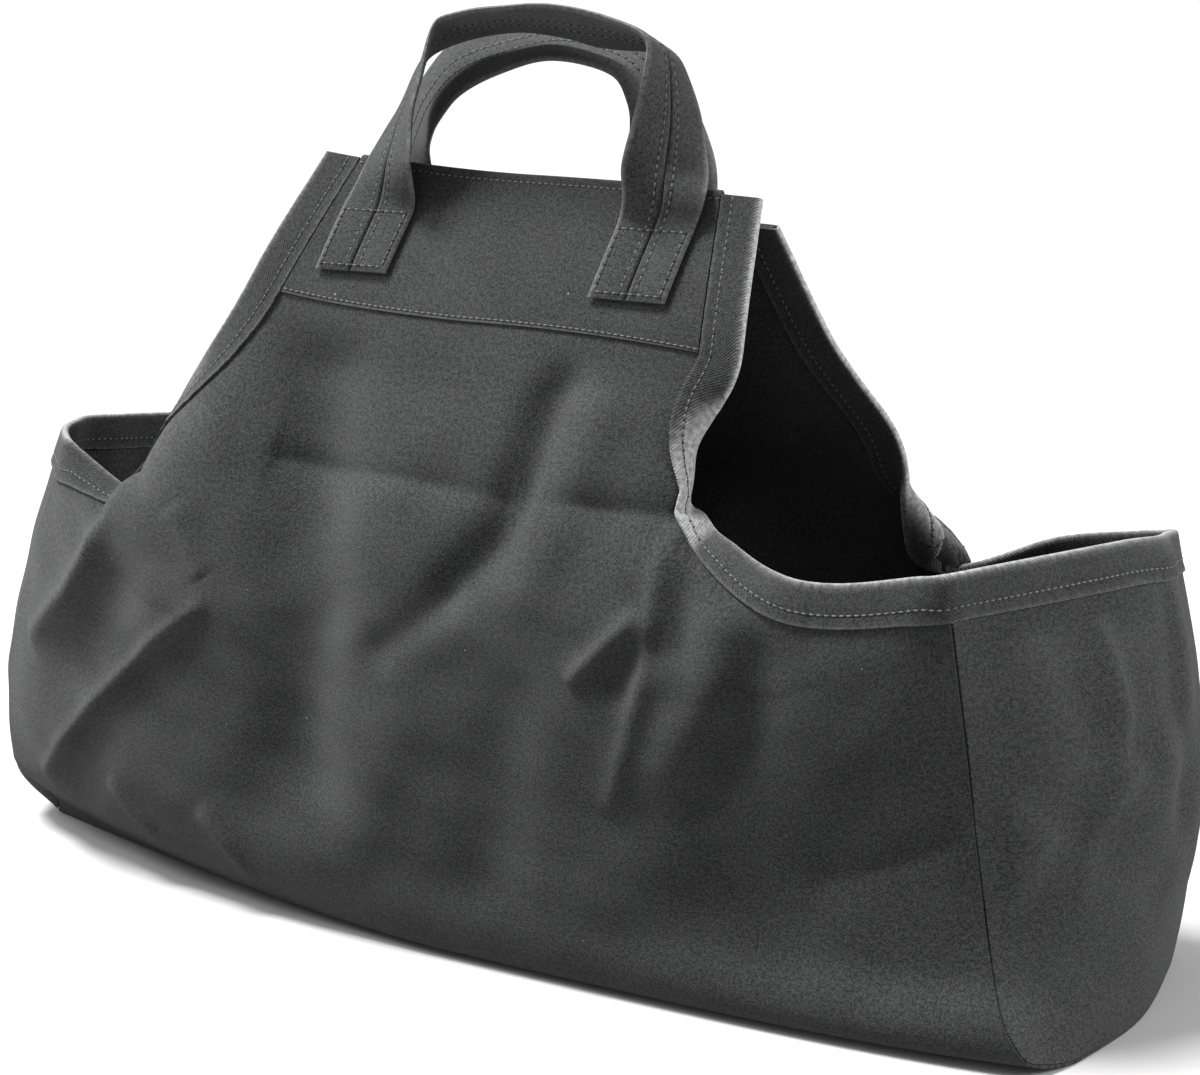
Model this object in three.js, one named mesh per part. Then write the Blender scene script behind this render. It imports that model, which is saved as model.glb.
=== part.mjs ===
// Log carrier: an open canvas firewood bag with bound side openings and two strap handles.
// Millimetres, +Z up, +X along the bag, +Y towards its back. The bag stands on its flat base.

import * as THREE from 'three';

// Cloth thicknesses and the gap between sewn pieces
const CANVAS = 1.6;
const TAPE = 1.2;
const FACING = 1.4;
const STRAP = 3;
const GAP = 0.35;

// Widths of the binding tape and of the handle strap
const BINDING_WIDTH = 19;
const STRAP_WIDTH = 42;

// Height of the base's middle surface, so that its underside lies at zero
const BASE = CANVAS / 2;

// How many grid steps each stretch of cloth has
const STEPS = { edge: 20, wall: 9, base: 8, across: 20, foot: 2, loop: 34 };

// Sections of the body sheet from the front hem, down, under and up to the back hem. Each has a
// left end, a middle and a right end. The bends say how late a section turns back towards its
// ends, and the rises how late it climbs to them.
const COLUMNS = [
  'leftX', 'leftY', 'leftZ', 'midY', 'midZ', 'rightX', 'rightY', 'rightZ',
  'leftBend', 'rightBend', 'leftRise', 'rightRise',
];
const SECTIONS = [
  { name: 'front hem', at: [-122, -12, 371, -10, 364, 115, -12, 362, 2, 2, 2, 2] },
  { name: 'front band', at: [-146, -43, 312, -44, 302, 121, -42, 294, 3, 2, 2, 2] },
  { name: 'front waist', at: [-181, -52, 252, -72, 243, 115, -72, 249, 6, 3, 2, 3] },
  { name: 'front shoulder', at: [-200, -57, 215, -84, 214, 120, -80, 229, 6, 3, 2, 5] },
  { name: 'front neck', at: [-201, -67, 202, -91, 194, 140, -85, 214, 4.5, 3, 3, 6] },
  { name: 'front dip', at: [-212, -75, 192, -98, 172, 178, -89, 203, 3, 3, 5, 6] },
  { name: 'front corner', at: [-259, -60, 217, -104, 146, 243, -85, 215, 4, 3, 5, 6] },
  { name: 'front wall', at: [-289, -60, 145, -107, 106, 254, -86, 148, 5, 4, 3, 4] },
  { name: 'front belly', at: [-307, -61, 84, -108, 62, 264, -90, 84, 4, 4, 3, 3] },
  { name: 'front foot', at: [-306, -60, 38, -107, 26, 276, -93, 32, 2.5, 4, 2, 2] },
  { name: 'front edge', at: [-291, -43, 12, -102, 5, 291, -87, 7, 1.5, 4, 3, 2] },
  { name: 'base front', at: [-298, -34, BASE, -86, BASE, 304, -60, BASE, 1.6, 4, 2, 2] },
  { name: 'base middle', at: [-310, 6, BASE, 0, BASE, 313, 0, BASE, 4, 4, 2, 2] },
  { name: 'base back', at: [-302, 60, BASE, 78, BASE, 306, 60, BASE, 4, 4, 2, 2] },
  { name: 'back edge', at: [-301, 84, 7, 93, 5, 302, 84, 7, 4, 4, 2, 2] },
  { name: 'back foot', at: [-304, 92, 34, 99, 26, 303, 92, 34, 4, 4, 2, 2] },
  { name: 'back belly', at: [-307, 95, 88, 101, 56, 303, 95, 88, 4, 4, 3, 3] },
  { name: 'back wall', at: [-306, 95, 145, 101, 88, 299, 95, 145, 4, 4, 4, 4] },
  { name: 'back corner', at: [-302, 92, 203, 99, 116, 287, 93, 205, 3, 3, 6, 6] },
  { name: 'back rim', at: [-240, 91, 190, 96, 138, 232, 91, 195, 3, 3, 6, 6] },
  { name: 'back dip', at: [-178, 86, 178, 92, 160, 194, 80, 179, 3, 4, 5, 5] },
  { name: 'back neck', at: [-158, 80, 184, 87, 184, 174, 68, 187, 3, 5, 4, 4] },
  { name: 'back shoulder', at: [-158, 72, 204, 80, 208, 166, 62, 208, 3, 5, 3, 3] },
  { name: 'back waist', at: [-163, 58, 240, 62, 240, 161, 57, 236, 3, 4, 2, 2] },
  { name: 'back band', at: [-140, 31, 296, 33, 291, 132, 31, 294, 2, 2, 2, 2] },
  { name: 'back hem', at: [-120, 10, 352, 9, 349, 113, 10, 347, 2, 2, 2, 2] },
];

// Folds of the front and back: a line from one place to another, its half width and its height.
// A ridge is above zero and a valley below.
const FOLDS = [
  { side: 'front', fromX: -120, fromZ: 250, toX: 90, toZ: 226, width: 14, height: 2 },
  { side: 'front', fromX: 28, fromZ: 285, toX: -8, toZ: 190, width: 24, height: -5 },
  { side: 'front', fromX: -112, fromZ: 300, toX: -120, toZ: 195, width: 24, height: -5 },
  { side: 'front', fromX: 104, fromZ: 190, toX: 58, toZ: 138, width: 26, height: 3 },
  { side: 'front', fromX: 120, fromZ: 170, toX: 92, toZ: 60, width: 26, height: -3 },
  { side: 'front', fromX: 160, fromZ: 160, toX: 165, toZ: 70, width: 26, height: 3 },
  { side: 'front', fromX: -140, fromZ: 140, toX: -262, toZ: 62, width: 26, height: 5 },
  { side: 'front', fromX: -100, fromZ: 110, toX: -200, toZ: 48, width: 26, height: -4 },
  { side: 'front', fromX: 150, fromZ: 80, toX: 235, toZ: 88, width: 16, height: 4 },
  { side: 'back', fromX: -110, fromZ: 240, toX: 100, toZ: 236, width: 14, height: 2 },
  { side: 'back', fromX: 40, fromZ: 285, toX: 10, toZ: 160, width: 26, height: -5 },
  { side: 'back', fromX: -70, fromZ: 270, toX: -110, toZ: 120, width: 28, height: 5 },
  { side: 'back', fromX: 150, fromZ: 140, toX: 210, toZ: 60, width: 24, height: -6 },
  { side: 'back', fromX: -160, fromZ: 150, toX: -230, toZ: 70, width: 24, height: -6 },
];
const FOLD_FADE = { from: 8, to: 40 };

// End walls: how far the rim and the middle stand out, and the creases in each, across its depth
const ENDS = {
  left: { sign: -1, rimBulge: 35, rimShare: 0.5, rimLift: 0, wallBulge: 14 },
  right: { sign: 1, rimBulge: 20, rimShare: 0.6, rimLift: 6, wallBulge: 18 },
};
const END_FOLDS = [
  { end: 'right', fromY: 40, fromZ: 205, toY: 18, toZ: 120, width: 16, height: 6 },
  { end: 'right', fromY: -30, fromZ: 90, toY: 5, toZ: 62, width: 18, height: -8 },
  { end: 'left', fromY: 30, fromZ: 205, toY: 22, toZ: 110, width: 18, height: 6 },
  { end: 'left', fromY: -20, fromZ: 90, toY: 10, toZ: 60, width: 20, height: -7 },
];

// Handles: the feet on each panel, and the loop between them. Yaw and dip turn the strap's width:
// yaw 180 lies along -X, 90 along +Y, and dip lowers the edge that is towards the back.
const HANDLES = {
  front: {
    feet: { leftX: -87, rightX: 66, bottomZ: 316, topZ: 348, leftYaw: 180, rightYaw: 0 },
    loop: [
      { x: -78, y: -27, z: 368, yaw: 180, dip: 8 },
      { x: -66, y: -26, z: 390, yaw: 178, dip: 40 },
      { x: -61, y: -22, z: 411, yaw: 172, dip: 66 },
      { x: -50, y: -16, z: 421, yaw: 132, dip: 58 },
      { x: -30, y: -11, z: 430, yaw: 104, dip: 40 },
      { x: 6, y: -9, z: 438, yaw: 90, dip: 23 },
      { x: 42, y: -11, z: 430, yaw: 76, dip: 40 },
      { x: 63, y: -16, z: 421, yaw: 48, dip: 58 },
      { x: 78, y: -22, z: 411, yaw: 8, dip: 55 },
      { x: 76, y: -26, z: 390, yaw: 2, dip: 18 },
      { x: 71, y: -27, z: 368, yaw: 0, dip: 4 },
    ],
  },
  back: {
    feet: { leftX: -100, rightX: 58, bottomZ: 299, topZ: 330, leftYaw: 180, rightYaw: 360 },
    loop: [
      { x: -101, y: 25, z: 352, yaw: 174, dip: 5 },
      { x: -99, y: 23, z: 374, yaw: 170, dip: 24 },
      { x: -88, y: 22, z: 397, yaw: 182, dip: 56 },
      { x: -70, y: 22, z: 410, yaw: 226, dip: 58 },
      { x: -46, y: 25, z: 420, yaw: 256, dip: 40 },
      { x: -12, y: 28, z: 428, yaw: 270, dip: 24 },
      { x: 24, y: 26, z: 421, yaw: 284, dip: 40 },
      { x: 42, y: 24, z: 411, yaw: 312, dip: 58 },
      { x: 56, y: 25, z: 397, yaw: 352, dip: 55 },
      { x: 57, y: 28, z: 373, yaw: 357, dip: 18 },
      { x: 58, y: 28, z: 352, yaw: 360, dip: 4 },
    ],
  },
};

// Finishes
const BLACK_CANVAS = { color: 0x2b2b2c, roughness: 0.92, metalness: 0 };
const BLACK_TAPE = { color: 0x343435, roughness: 0.88, metalness: 0 };
const BLACK_STRAP = { color: 0x303031, roughness: 0.9, metalness: 0 };

// A smooth curve through values at rising knots that never swings past them
function monotoneCurve(knots, values) {
  const count = knots.length;
  const slopes = [];
  for (let i = 0; i < count - 1; i++) {
    slopes.push((values[i + 1] - values[i]) / (knots[i + 1] - knots[i]));
  }
  const tangents = values.map((_, i) => {
    const before = slopes[Math.max(i - 1, 0)];
    const after = slopes[Math.min(i, count - 2)];
    if (before * after <= 0) {
      return 0;
    }
    return (2 * before * after) / (before + after);
  });
  return (at) => {
    let i = 0;
    while (i < count - 2 && at > knots[i + 1]) {
      i++;
    }
    const span = knots[i + 1] - knots[i];
    const t = (at - knots[i]) / span;
    const rise = span * (tangents[i] * t * (1 - t) ** 2 - tangents[i + 1] * t * t * (1 - t));
    return values[i] + (values[i + 1] - values[i]) * t * t * (3 - 2 * t) + rise;
  };
}

function smoothStep(from, to, value) {
  const t = THREE.MathUtils.clamp((value - from) / (to - from), 0, 1);
  return t * t * (3 - 2 * t);
}

// Distance of a place from the line between two others, in a plane
function distanceToLine(x, y, line) {
  const alongX = line.toX - line.fromX;
  const alongY = line.toY - line.fromY;
  const share = ((x - line.fromX) * alongX + (y - line.fromY) * alongY) / (alongX ** 2 + alongY ** 2);
  const t = THREE.MathUtils.clamp(share, 0, 1);
  return Math.hypot(x - line.fromX - t * alongX, y - line.fromY - t * alongY);
}

// Height of all folds in a list at one place
function foldHeight(folds, x, y) {
  return folds.reduce((sum, fold) => {
    const away = distanceToLine(x, y, fold) / fold.width;
    return sum + fold.height * Math.exp(-away * away);
  }, 0);
}

const flat = (fold, x, y) => ({
  fromX: fold[`from${x}`],
  fromY: fold[`from${y}`],
  toX: fold[`to${x}`],
  toY: fold[`to${y}`],
  width: fold.width,
  height: fold.height,
});
const sheetFolds = (side) => FOLDS.filter((f) => f.side === side).map((f) => flat(f, 'X', 'Z'));
const gussetFolds = (end) => END_FOLDS.filter((f) => f.end === end).map((f) => flat(f, 'Y', 'Z'));
const SHEET_FOLDS = { front: sheetFolds('front'), back: sheetFolds('back') };
const GUSSET_FOLDS = { left: gussetFolds('left'), right: gussetFolds('right') };

// Body sheet as one surface: u runs from the left end (-1) to the right end (1), v along the cloth
const ROWS = SECTIONS.map(({ at }) => Object.fromEntries(COLUMNS.map((column, i) => [column, at[i]])));
const indexOf = (name) => SECTIONS.findIndex((section) => section.name === name);

function rowSpacing(a, b) {
  const left = Math.hypot(b.leftX - a.leftX, b.leftY - a.leftY, b.leftZ - a.leftZ);
  const middle = Math.hypot(b.midY - a.midY, b.midZ - a.midZ);
  const right = Math.hypot(b.rightX - a.rightX, b.rightY - a.rightY, b.rightZ - a.rightZ);
  return (left + middle + right) / 3;
}

const ALONG = [0];
for (let i = 1; i < ROWS.length; i++) {
  ALONG.push(ALONG[i - 1] + rowSpacing(ROWS[i - 1], ROWS[i]));
}
const placeOf = (name) => ALONG[indexOf(name)];

const FRONT_CORNER = placeOf('front corner');
const BACK_CORNER = placeOf('back corner');
const BASE_MIDDLE = (placeOf('base front') + placeOf('base back')) / 2;

// The ends turn a sharp corner where the free edge meets the seam, so their curves break there
const STRETCHES = [
  [0, indexOf('front corner')],
  [indexOf('front corner'), indexOf('back corner')],
  [indexOf('back corner'), ROWS.length - 1],
];

function columnCurve(column) {
  const values = ROWS.map((row) => row[column]);
  if (column.startsWith('mid')) {
    return monotoneCurve(ALONG, values);
  }
  const parts = STRETCHES.map(([from, to]) => {
    const stretch = [from, to + 1];
    return monotoneCurve(ALONG.slice(...stretch), values.slice(...stretch));
  });
  return (v) => {
    if (v < FRONT_CORNER) {
      return parts[0](v);
    }
    return v <= BACK_CORNER ? parts[1](v) : parts[2](v);
  };
}

const CURVES = Object.fromEntries(COLUMNS.map((column) => [column, columnCurve(column)]));

function plainSheet(u, v) {
  const end = u < 0 ? 'left' : 'right';
  const reach = Math.abs(u);
  const midX = (CURVES.leftX(v) + CURVES.rightX(v)) / 2;
  const midY = CURVES.midY(v);
  const midZ = CURVES.midZ(v);
  const turned = reach ** CURVES[`${end}Bend`](v);
  return new THREE.Vector3(
    midX + (CURVES[`${end}X`](v) - midX) * reach,
    midY + (CURVES[`${end}Y`](v) - midY) * turned,
    midZ + (CURVES[`${end}Z`](v) - midZ) * reach ** CURVES[`${end}Rise`](v),
  );
}

// Slopes of a surface across and along, by small steps that stay inside it
const STEP_U = 0.004;
const STEP_V = 0.5;
const LAST_V = ALONG[ALONG.length - 1];

function slopes(surface, u, v) {
  const u0 = Math.max(u - STEP_U, -1);
  const u1 = Math.min(u + STEP_U, 1);
  const v0 = Math.max(v - STEP_V, 0);
  const v1 = Math.min(v + STEP_V, LAST_V);
  return {
    across: surface(u1, v).sub(surface(u0, v)).divideScalar(u1 - u0),
    along: surface(u, v1).sub(surface(u, v0)).divideScalar(v1 - v0),
  };
}

function outward(surface, u, v) {
  const { across, along } = slopes(surface, u, v);
  return along.cross(across).normalize();
}

function sheet(u, v) {
  const place = plainSheet(u, v);
  const folds = SHEET_FOLDS[v < BASE_MIDDLE ? 'front' : 'back'];
  const height = foldHeight(folds, place.x, place.z) * smoothStep(FOLD_FADE.from, FOLD_FADE.to, place.z);
  return place.addScaledVector(outward(plainSheet, u, v), height);
}

// The place on the sheet that lies one binding's width in from the free edge
const HEM_BLEND = 30;

const INNER_STRIDES = 12;

// One step of a search for the place on a surface that is nearest to a target
function stepTowards(surface, target, place) {
  const { across, along } = slopes(surface, place.u, place.v);
  const miss = target.clone().sub(surface(place.u, place.v));
  const [aa, al, ll] = [across.lengthSq(), across.dot(along), along.lengthSq()];
  const [am, lm] = [across.dot(miss), along.dot(miss)];
  const scale = aa * ll - al * al;
  return {
    u: THREE.MathUtils.clamp(place.u + (am * ll - lm * al) / scale, -1, 1),
    v: THREE.MathUtils.clamp(place.v + (lm * aa - am * al) / scale, 0, LAST_V),
  };
}

function bindingInner(sign, v) {
  const inside = v < BASE_MIDDLE ? Math.min(v, FRONT_CORNER - STEP_V) : Math.max(v, BACK_CORNER + STEP_V);
  const { across, along } = slopes(plainSheet, sign, inside);
  const edgeWay = along.normalize();
  const way = across.addScaledVector(edgeWay, -across.dot(edgeWay)).multiplyScalar(-sign).normalize();
  let found = { u: sign, v };
  let here = plainSheet(sign, v);
  for (let stride = 0; stride < INNER_STRIDES; stride++) {
    const target = here.clone().addScaledVector(way, BINDING_WIDTH / INNER_STRIDES);
    found = stepTowards(plainSheet, target, found);
    const next = plainSheet(found.u, found.v);
    way.copy(next).sub(here).normalize();
    here = next;
  }
  const fade = smoothStep(0, HEM_BLEND, Math.min(v, LAST_V - v));
  return { u: found.u, v: THREE.MathUtils.lerp(v, found.v, fade) };
}

function evenly(from, to, steps) {
  return Array.from({ length: steps + 1 }, (_, i) => from + ((to - from) * i) / steps);
}

// Rows of the sheet's grid: free rows of the panels, wall rows at the seams, and base rows
const BAND_STEPS = 5;
const SEAM_START = {
  front: FRONT_CORNER + BINDING_WIDTH,
  back: BACK_CORNER - BINDING_WIDTH,
};
const FREE_ROWS = {
  front: [
    ...evenly(0, placeOf('front band'), BAND_STEPS),
    ...evenly(placeOf('front band'), FRONT_CORNER, STEPS.edge - BAND_STEPS).slice(1),
  ],
  back: [
    ...evenly(BACK_CORNER, placeOf('back band'), STEPS.edge - BAND_STEPS),
    ...evenly(placeOf('back band'), LAST_V, BAND_STEPS).slice(1),
  ],
};
const SEAM_ROWS = [
  ...evenly(SEAM_START.front, placeOf('front edge'), STEPS.wall).slice(1),
  ...evenly(placeOf('base front'), placeOf('base back'), STEPS.base - 2),
  ...evenly(placeOf('back edge'), SEAM_START.back, STEPS.wall).slice(0, -1),
];

// Param places of one row's two ends: one binding's width in on free rows, on the seam elsewhere
function rowEnds(row) {
  return [-1, 1].map((sign) => {
    if (row.kind === 'corner') {
      return { u: sign, v: SEAM_START[row.side] };
    }
    return row.kind === 'free' ? bindingInner(sign, row.v) : { u: sign, v: row.v };
  });
}

const GRID_ROWS = [
  ...FREE_ROWS.front.slice(0, -1).map((v) => ({ kind: 'free', side: 'front', v })),
  { kind: 'corner', side: 'front', v: FRONT_CORNER },
  ...SEAM_ROWS.map((v) => ({ kind: 'seam', v })),
  { kind: 'corner', side: 'back', v: BACK_CORNER },
  ...FREE_ROWS.back.slice(1).map((v) => ({ kind: 'free', side: 'back', v })),
];

// A cloth: its middle points, its four-sided cells and its points' normals
class Cloth {
  constructor() {
    this.points = [];
    this.cells = [];
  }

  add(point) {
    return this.points.push(point) - 1;
  }

  normals() {
    const normals = this.points.map(() => new THREE.Vector3());
    for (const [a, b, c, d] of this.cells) {
      for (const corners of [[a, b, c], [a, c, d]]) {
        const [p, q, r] = corners.map((corner) => this.points[corner]);
        const face = q.clone().sub(p).cross(r.clone().sub(p));
        corners.forEach((corner) => normals[corner].add(face));
      }
    }
    return normals.map((normal) => normal.normalize());
  }

  // Closed wall between two distances from the middle points, along their normals
  wall(lower, upper, normals = this.normals()) {
    const count = this.points.length;
    const offset = (distance) => this.points.map((p, i) => p.clone().addScaledVector(normals[i], distance));
    const faces = [];
    const open = new Map();
    for (const cell of this.cells) {
      const [a, b, c, d] = cell;
      faces.push([a + count, b + count, c + count], [a + count, c + count, d + count]);
      faces.push([a, c, b], [a, d, c]);
      cell.forEach((from, i) => {
        const to = cell[(i + 1) % cell.length];
        if (!open.delete(`${to} ${from}`)) {
          open.set(`${from} ${to}`, [from, to]);
        }
      });
    }
    for (const [from, to] of open.values()) {
      faces.push([from, to, to + count], [from, to + count, from + count]);
    }
    return solid([...offset(lower), ...offset(upper)], faces);
  }
}

// Geometry from points and three-sided faces, turned so that its faces point out
function solid(points, faces) {
  const used = new Map();
  const positions = [];
  const index = faces.flat().map((corner) => {
    if (!used.has(corner)) {
      used.set(corner, used.size);
      positions.push(...points[corner].toArray());
    }
    return used.get(corner);
  });
  const volume = faces.reduce((sum, [a, b, c]) => sum + points[a].dot(points[b].clone().cross(points[c])), 0);
  if (volume < 0) {
    for (let i = 0; i < index.length; i += 3) {
      [index[i], index[i + 1]] = [index[i + 1], index[i]];
    }
  }
  const geometry = new THREE.BufferGeometry();
  geometry.setAttribute('position', new THREE.Float32BufferAttribute(positions, 3));
  geometry.setIndex(index);
  geometry.computeVertexNormals();
  return geometry;
}

// Body sheet: the grid between its bound or sewn ends, and the two edge strips under each binding
function bodySheet() {
  const cloth = new Cloth();
  const grid = GRID_ROWS.map((row) => {
    const [left, right] = rowEnds(row);
    return evenly(0, 1, STEPS.across).map((share) => {
      const u = THREE.MathUtils.lerp(left.u, right.u, share);
      const v = THREE.MathUtils.lerp(left.v, right.v, share);
      return cloth.add(sheet(u, v));
    });
  });
  for (let r = 0; r < grid.length - 1; r++) {
    for (let c = 0; c < STEPS.across; c++) {
      cloth.cells.push([grid[r][c], grid[r + 1][c], grid[r + 1][c + 1], grid[r][c + 1]]);
    }
  }
  const edges = { left: [], right: [] };
  GRID_ROWS.forEach((row, r) => {
    for (const [end, sign, column] of [['left', -1, 0], ['right', 1, STEPS.across]]) {
      if (row.kind === 'seam') {
        continue;
      }
      edges[end].push({ row: r, edge: cloth.add(sheet(sign, row.v)), inner: grid[r][column], ...row });
    }
  });
  for (const [end, list] of Object.entries(edges)) {
    for (let i = 0; i < list.length - 1; i++) {
      const [a, b] = [list[i], list[i + 1]];
      if (a.side === b.side) {
        const cell = [a.edge, b.edge, b.inner, a.inner];
        cloth.cells.push(end === 'left' ? cell : [cell[0], cell[3], cell[2], cell[1]]);
      }
    }
  }
  return { cloth, grid, edges };
}

// How far sewn cloths are drawn back from their seam, and how much more where a seam turns a corner
const SET_BACK = { least: 0.6, most: 4, cornerSpread: 2.4 };

// End wall: a patch between the two seams, the base's short edge and its own bulging rim
function endGusset(end, body) {
  const { sign, rimBulge, rimShare, rimLift, wallBulge } = ENDS[end];
  const column = end === 'left' ? 0 : STEPS.across;
  const corners = body.edges[end].filter((place) => place.kind === 'corner');
  const [frontRow, backRow] = corners.map((place) => place.row);
  const nextColumn = column - sign;
  const sewn = (row) => ({ index: body.grid[row][column], inner: body.grid[row][nextColumn] });
  const rimCorner = (place, neighbour) => ({ index: place.edge, inner: body.edges[end][neighbour].edge });
  const frontAt = body.edges[end].indexOf(corners[0]);
  const front = [rimCorner(corners[0], frontAt - 1)];
  const back = [rimCorner(corners[1], frontAt + 2)];
  for (let i = 0; i <= STEPS.wall; i++) {
    front.push(sewn(frontRow + i));
    back.push(sewn(backRow - i));
  }
  const base = evenly(frontRow + STEPS.wall, backRow - STEPS.wall, STEPS.base).map(sewn);
  const at = (place) => body.cloth.points[place.index];

  const shares = (list) => {
    const run = [0];
    for (let i = 1; i < list.length; i++) {
      run.push(run[i - 1] + at(list[i]).distanceTo(at(list[i - 1])));
    }
    return run.map((value) => value / run[run.length - 1]);
  };
  const down = shares(front);
  const over = shares(base);
  const peak = Math.log(0.5) / Math.log(rimShare);
  const rim = over.map((t) => {
    const swell = new THREE.Vector3(sign * rimBulge, 0, rimLift);
    swell.multiplyScalar(Math.sin(Math.PI * t ** peak));
    return at(front[0]).clone().lerp(at(back[0]), t).add(swell);
  });

  const cloth = new Cloth();
  const last = front.length - 1;
  const grid = front.map((_, r) => base.map((__, c) => {
    const s = down[r];
    const t = over[c];
    const seams = at(front[r]).clone().lerp(at(back[r]), t);
    const ends = rim[c].clone().lerp(at(base[c]), s);
    const top = at(front[0]).clone().lerp(at(back[0]), t);
    const corner = top.lerp(at(front[last]).clone().lerp(at(back[last]), t), s);
    const place = seams.add(ends).sub(corner);
    const inside = Math.sin(Math.PI * t) * Math.sin(Math.PI * s);
    const crease = foldHeight(GUSSET_FOLDS[end], place.y, place.z) * Math.sqrt(Math.sin(Math.PI * t));
    place.x += sign * (wallBulge * inside + crease * (1 - s) ** 0.5);
    return cloth.add(place);
  }));
  for (let r = 0; r < last; r++) {
    for (let c = 0; c < STEPS.base; c++) {
      const cell = [grid[r][c], grid[r + 1][c], grid[r + 1][c + 1], grid[r][c + 1]];
      cloth.cells.push(end === 'right' ? cell : [cell[0], cell[3], cell[2], cell[1]]);
    }
  }

  const sewnTo = (place, [row, c], [innerRow, innerColumn]) => ({
    ...place,
    own: grid[row][c],
    ownInner: grid[Math.min(innerRow, last - 1)][innerColumn],
    spread: row === last && c % STEPS.base === 0 ? SET_BACK.cornerSpread : 1,
  });
  const seam = [
    ...front.map((place, r) => sewnTo(place, [r, 0], [r, 1])),
    ...base.slice(1, -1).map((place, i) => sewnTo(place, [last, i + 1], [last - 1, i + 1])),
    ...back.map((place, r) => sewnTo(place, [r, STEPS.base], [r, STEPS.base - 1])),
  ];
  const corner = {
    front: { edge: at(front[0]).clone(), inner: at(front[1]).clone() },
    back: { edge: at(back[0]).clone(), inner: at(back[1]).clone() },
  };
  setBack(body.cloth, cloth, seam);
  return { cloth, grid, corner };
}

// Draw two sewn cloths back from their seam line, so that a small gap is left at any angle
function setBack(sheetCloth, gussetCloth, seam) {
  const moves = seam.map(({ index, inner, own, ownInner, spread }) => {
    const line = sheetCloth.points[index].clone();
    const towardsSheet = sheetCloth.points[inner].clone().sub(line).normalize();
    const towardsGusset = gussetCloth.points[ownInner].clone().sub(line).normalize();
    const half = towardsSheet.angleTo(towardsGusset) / 2;
    const wanted = ((CANVAS / 2) * Math.cos(half) + GAP / 2) / Math.sin(half);
    const depth = THREE.MathUtils.clamp(wanted, SET_BACK.least, SET_BACK.most);
    return { index, own, line, towardsSheet, towardsGusset, depth, spread };
  });
  for (const { index, own, line, towardsSheet, towardsGusset, depth, spread } of moves) {
    sheetCloth.points[index] = line.clone().addScaledVector(towardsSheet, depth);
    gussetCloth.points[own] = line.clone().addScaledVector(towardsGusset, depth * spread);
  }
}

// Distances of the tape's two faces from the middle of the canvas that it wraps, and of its fold
// from the canvas's edge. The tape stands off a little more where it turns a corner.
const TAPE_INNER = CANVAS / 2 + GAP;
const TAPE_OUTER = TAPE_INNER + TAPE;
const EDGE_GAP = 0.8;
const CORNER_EASE = 1.5;

// Binding: a folded tape round the free edge of the sheet and the rim of one end wall
function binding(end, body, gusset) {
  const sheetNormals = body.cloth.normals();
  const gussetNormals = gusset.cloth.normals();
  const onSheet = (place) => ({
    edge: body.cloth.points[place.edge],
    inner: body.cloth.points[place.inner],
    edgeNormal: sheetNormals[place.edge],
    innerNormal: sheetNormals[place.inner],
  });
  const mitre = (a, b) => a.clone().add(b).divideScalar(1 + a.dot(b));
  const atCorner = (place, line, gussetColumn) => {
    const [rimNormal, seamNormal] = [0, 1].map((row) => gussetNormals[gusset.grid[row][gussetColumn]]);
    return {
      ...line,
      edgeNormal: mitre(sheetNormals[place.edge], rimNormal).multiplyScalar(CORNER_EASE),
      innerNormal: mitre(sheetNormals[place.inner], seamNormal).multiplyScalar(CORNER_EASE),
    };
  };
  const onRim = (c) => ({
    edge: gusset.cloth.points[gusset.grid[0][c]],
    inner: gusset.cloth.points[gusset.grid[1][c]],
    edgeNormal: gussetNormals[gusset.grid[0][c]],
    innerNormal: gussetNormals[gusset.grid[1][c]],
  });
  const places = body.edges[end];
  const frontAt = places.findIndex((place) => place.kind === 'corner');
  const sections = [
    ...places.slice(0, frontAt).map(onSheet),
    atCorner(places[frontAt], gusset.corner.front, 0),
    ...Array.from({ length: STEPS.base - 1 }, (_, i) => onRim(i + 1)),
    atCorner(places[frontAt + 1], gusset.corner.back, STEPS.base),
    ...places.slice(frontAt + 2).map(onSheet),
  ];

  const points = [];
  for (const { edge, inner, edgeNormal, innerNormal } of sections) {
    const beyond = edge.clone().sub(inner).normalize();
    const atInner = (distance) => inner.clone().addScaledVector(innerNormal, distance);
    const atEdge = (distance, reach) => {
      const out = edge.clone().addScaledVector(edgeNormal, distance);
      return out.addScaledVector(beyond, reach);
    };
    points.push(
      atInner(TAPE_INNER),
      atInner(TAPE_OUTER),
      atEdge(TAPE_OUTER, EDGE_GAP + TAPE),
      atEdge(-TAPE_OUTER, EDGE_GAP + TAPE),
      atInner(-TAPE_OUTER),
      atInner(-TAPE_INNER),
      atEdge(-TAPE_INNER, EDGE_GAP),
      atEdge(TAPE_INNER, EDGE_GAP),
    );
  }
  return solid(points, foldedTapeFaces(sections.length));
}

// Faces of a tape with eight corners in each section. Its cells are cut the same way as the cloth's
// below them: from the edge of one section to the inner side of the next.
const TAPE_CORNERS = 8;
const STARTS_INSIDE = new Set([1, 5]);
const TAPE_ENDS = [[0, 1, 2, 7], [7, 2, 3, 6], [6, 3, 4, 5]];

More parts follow.
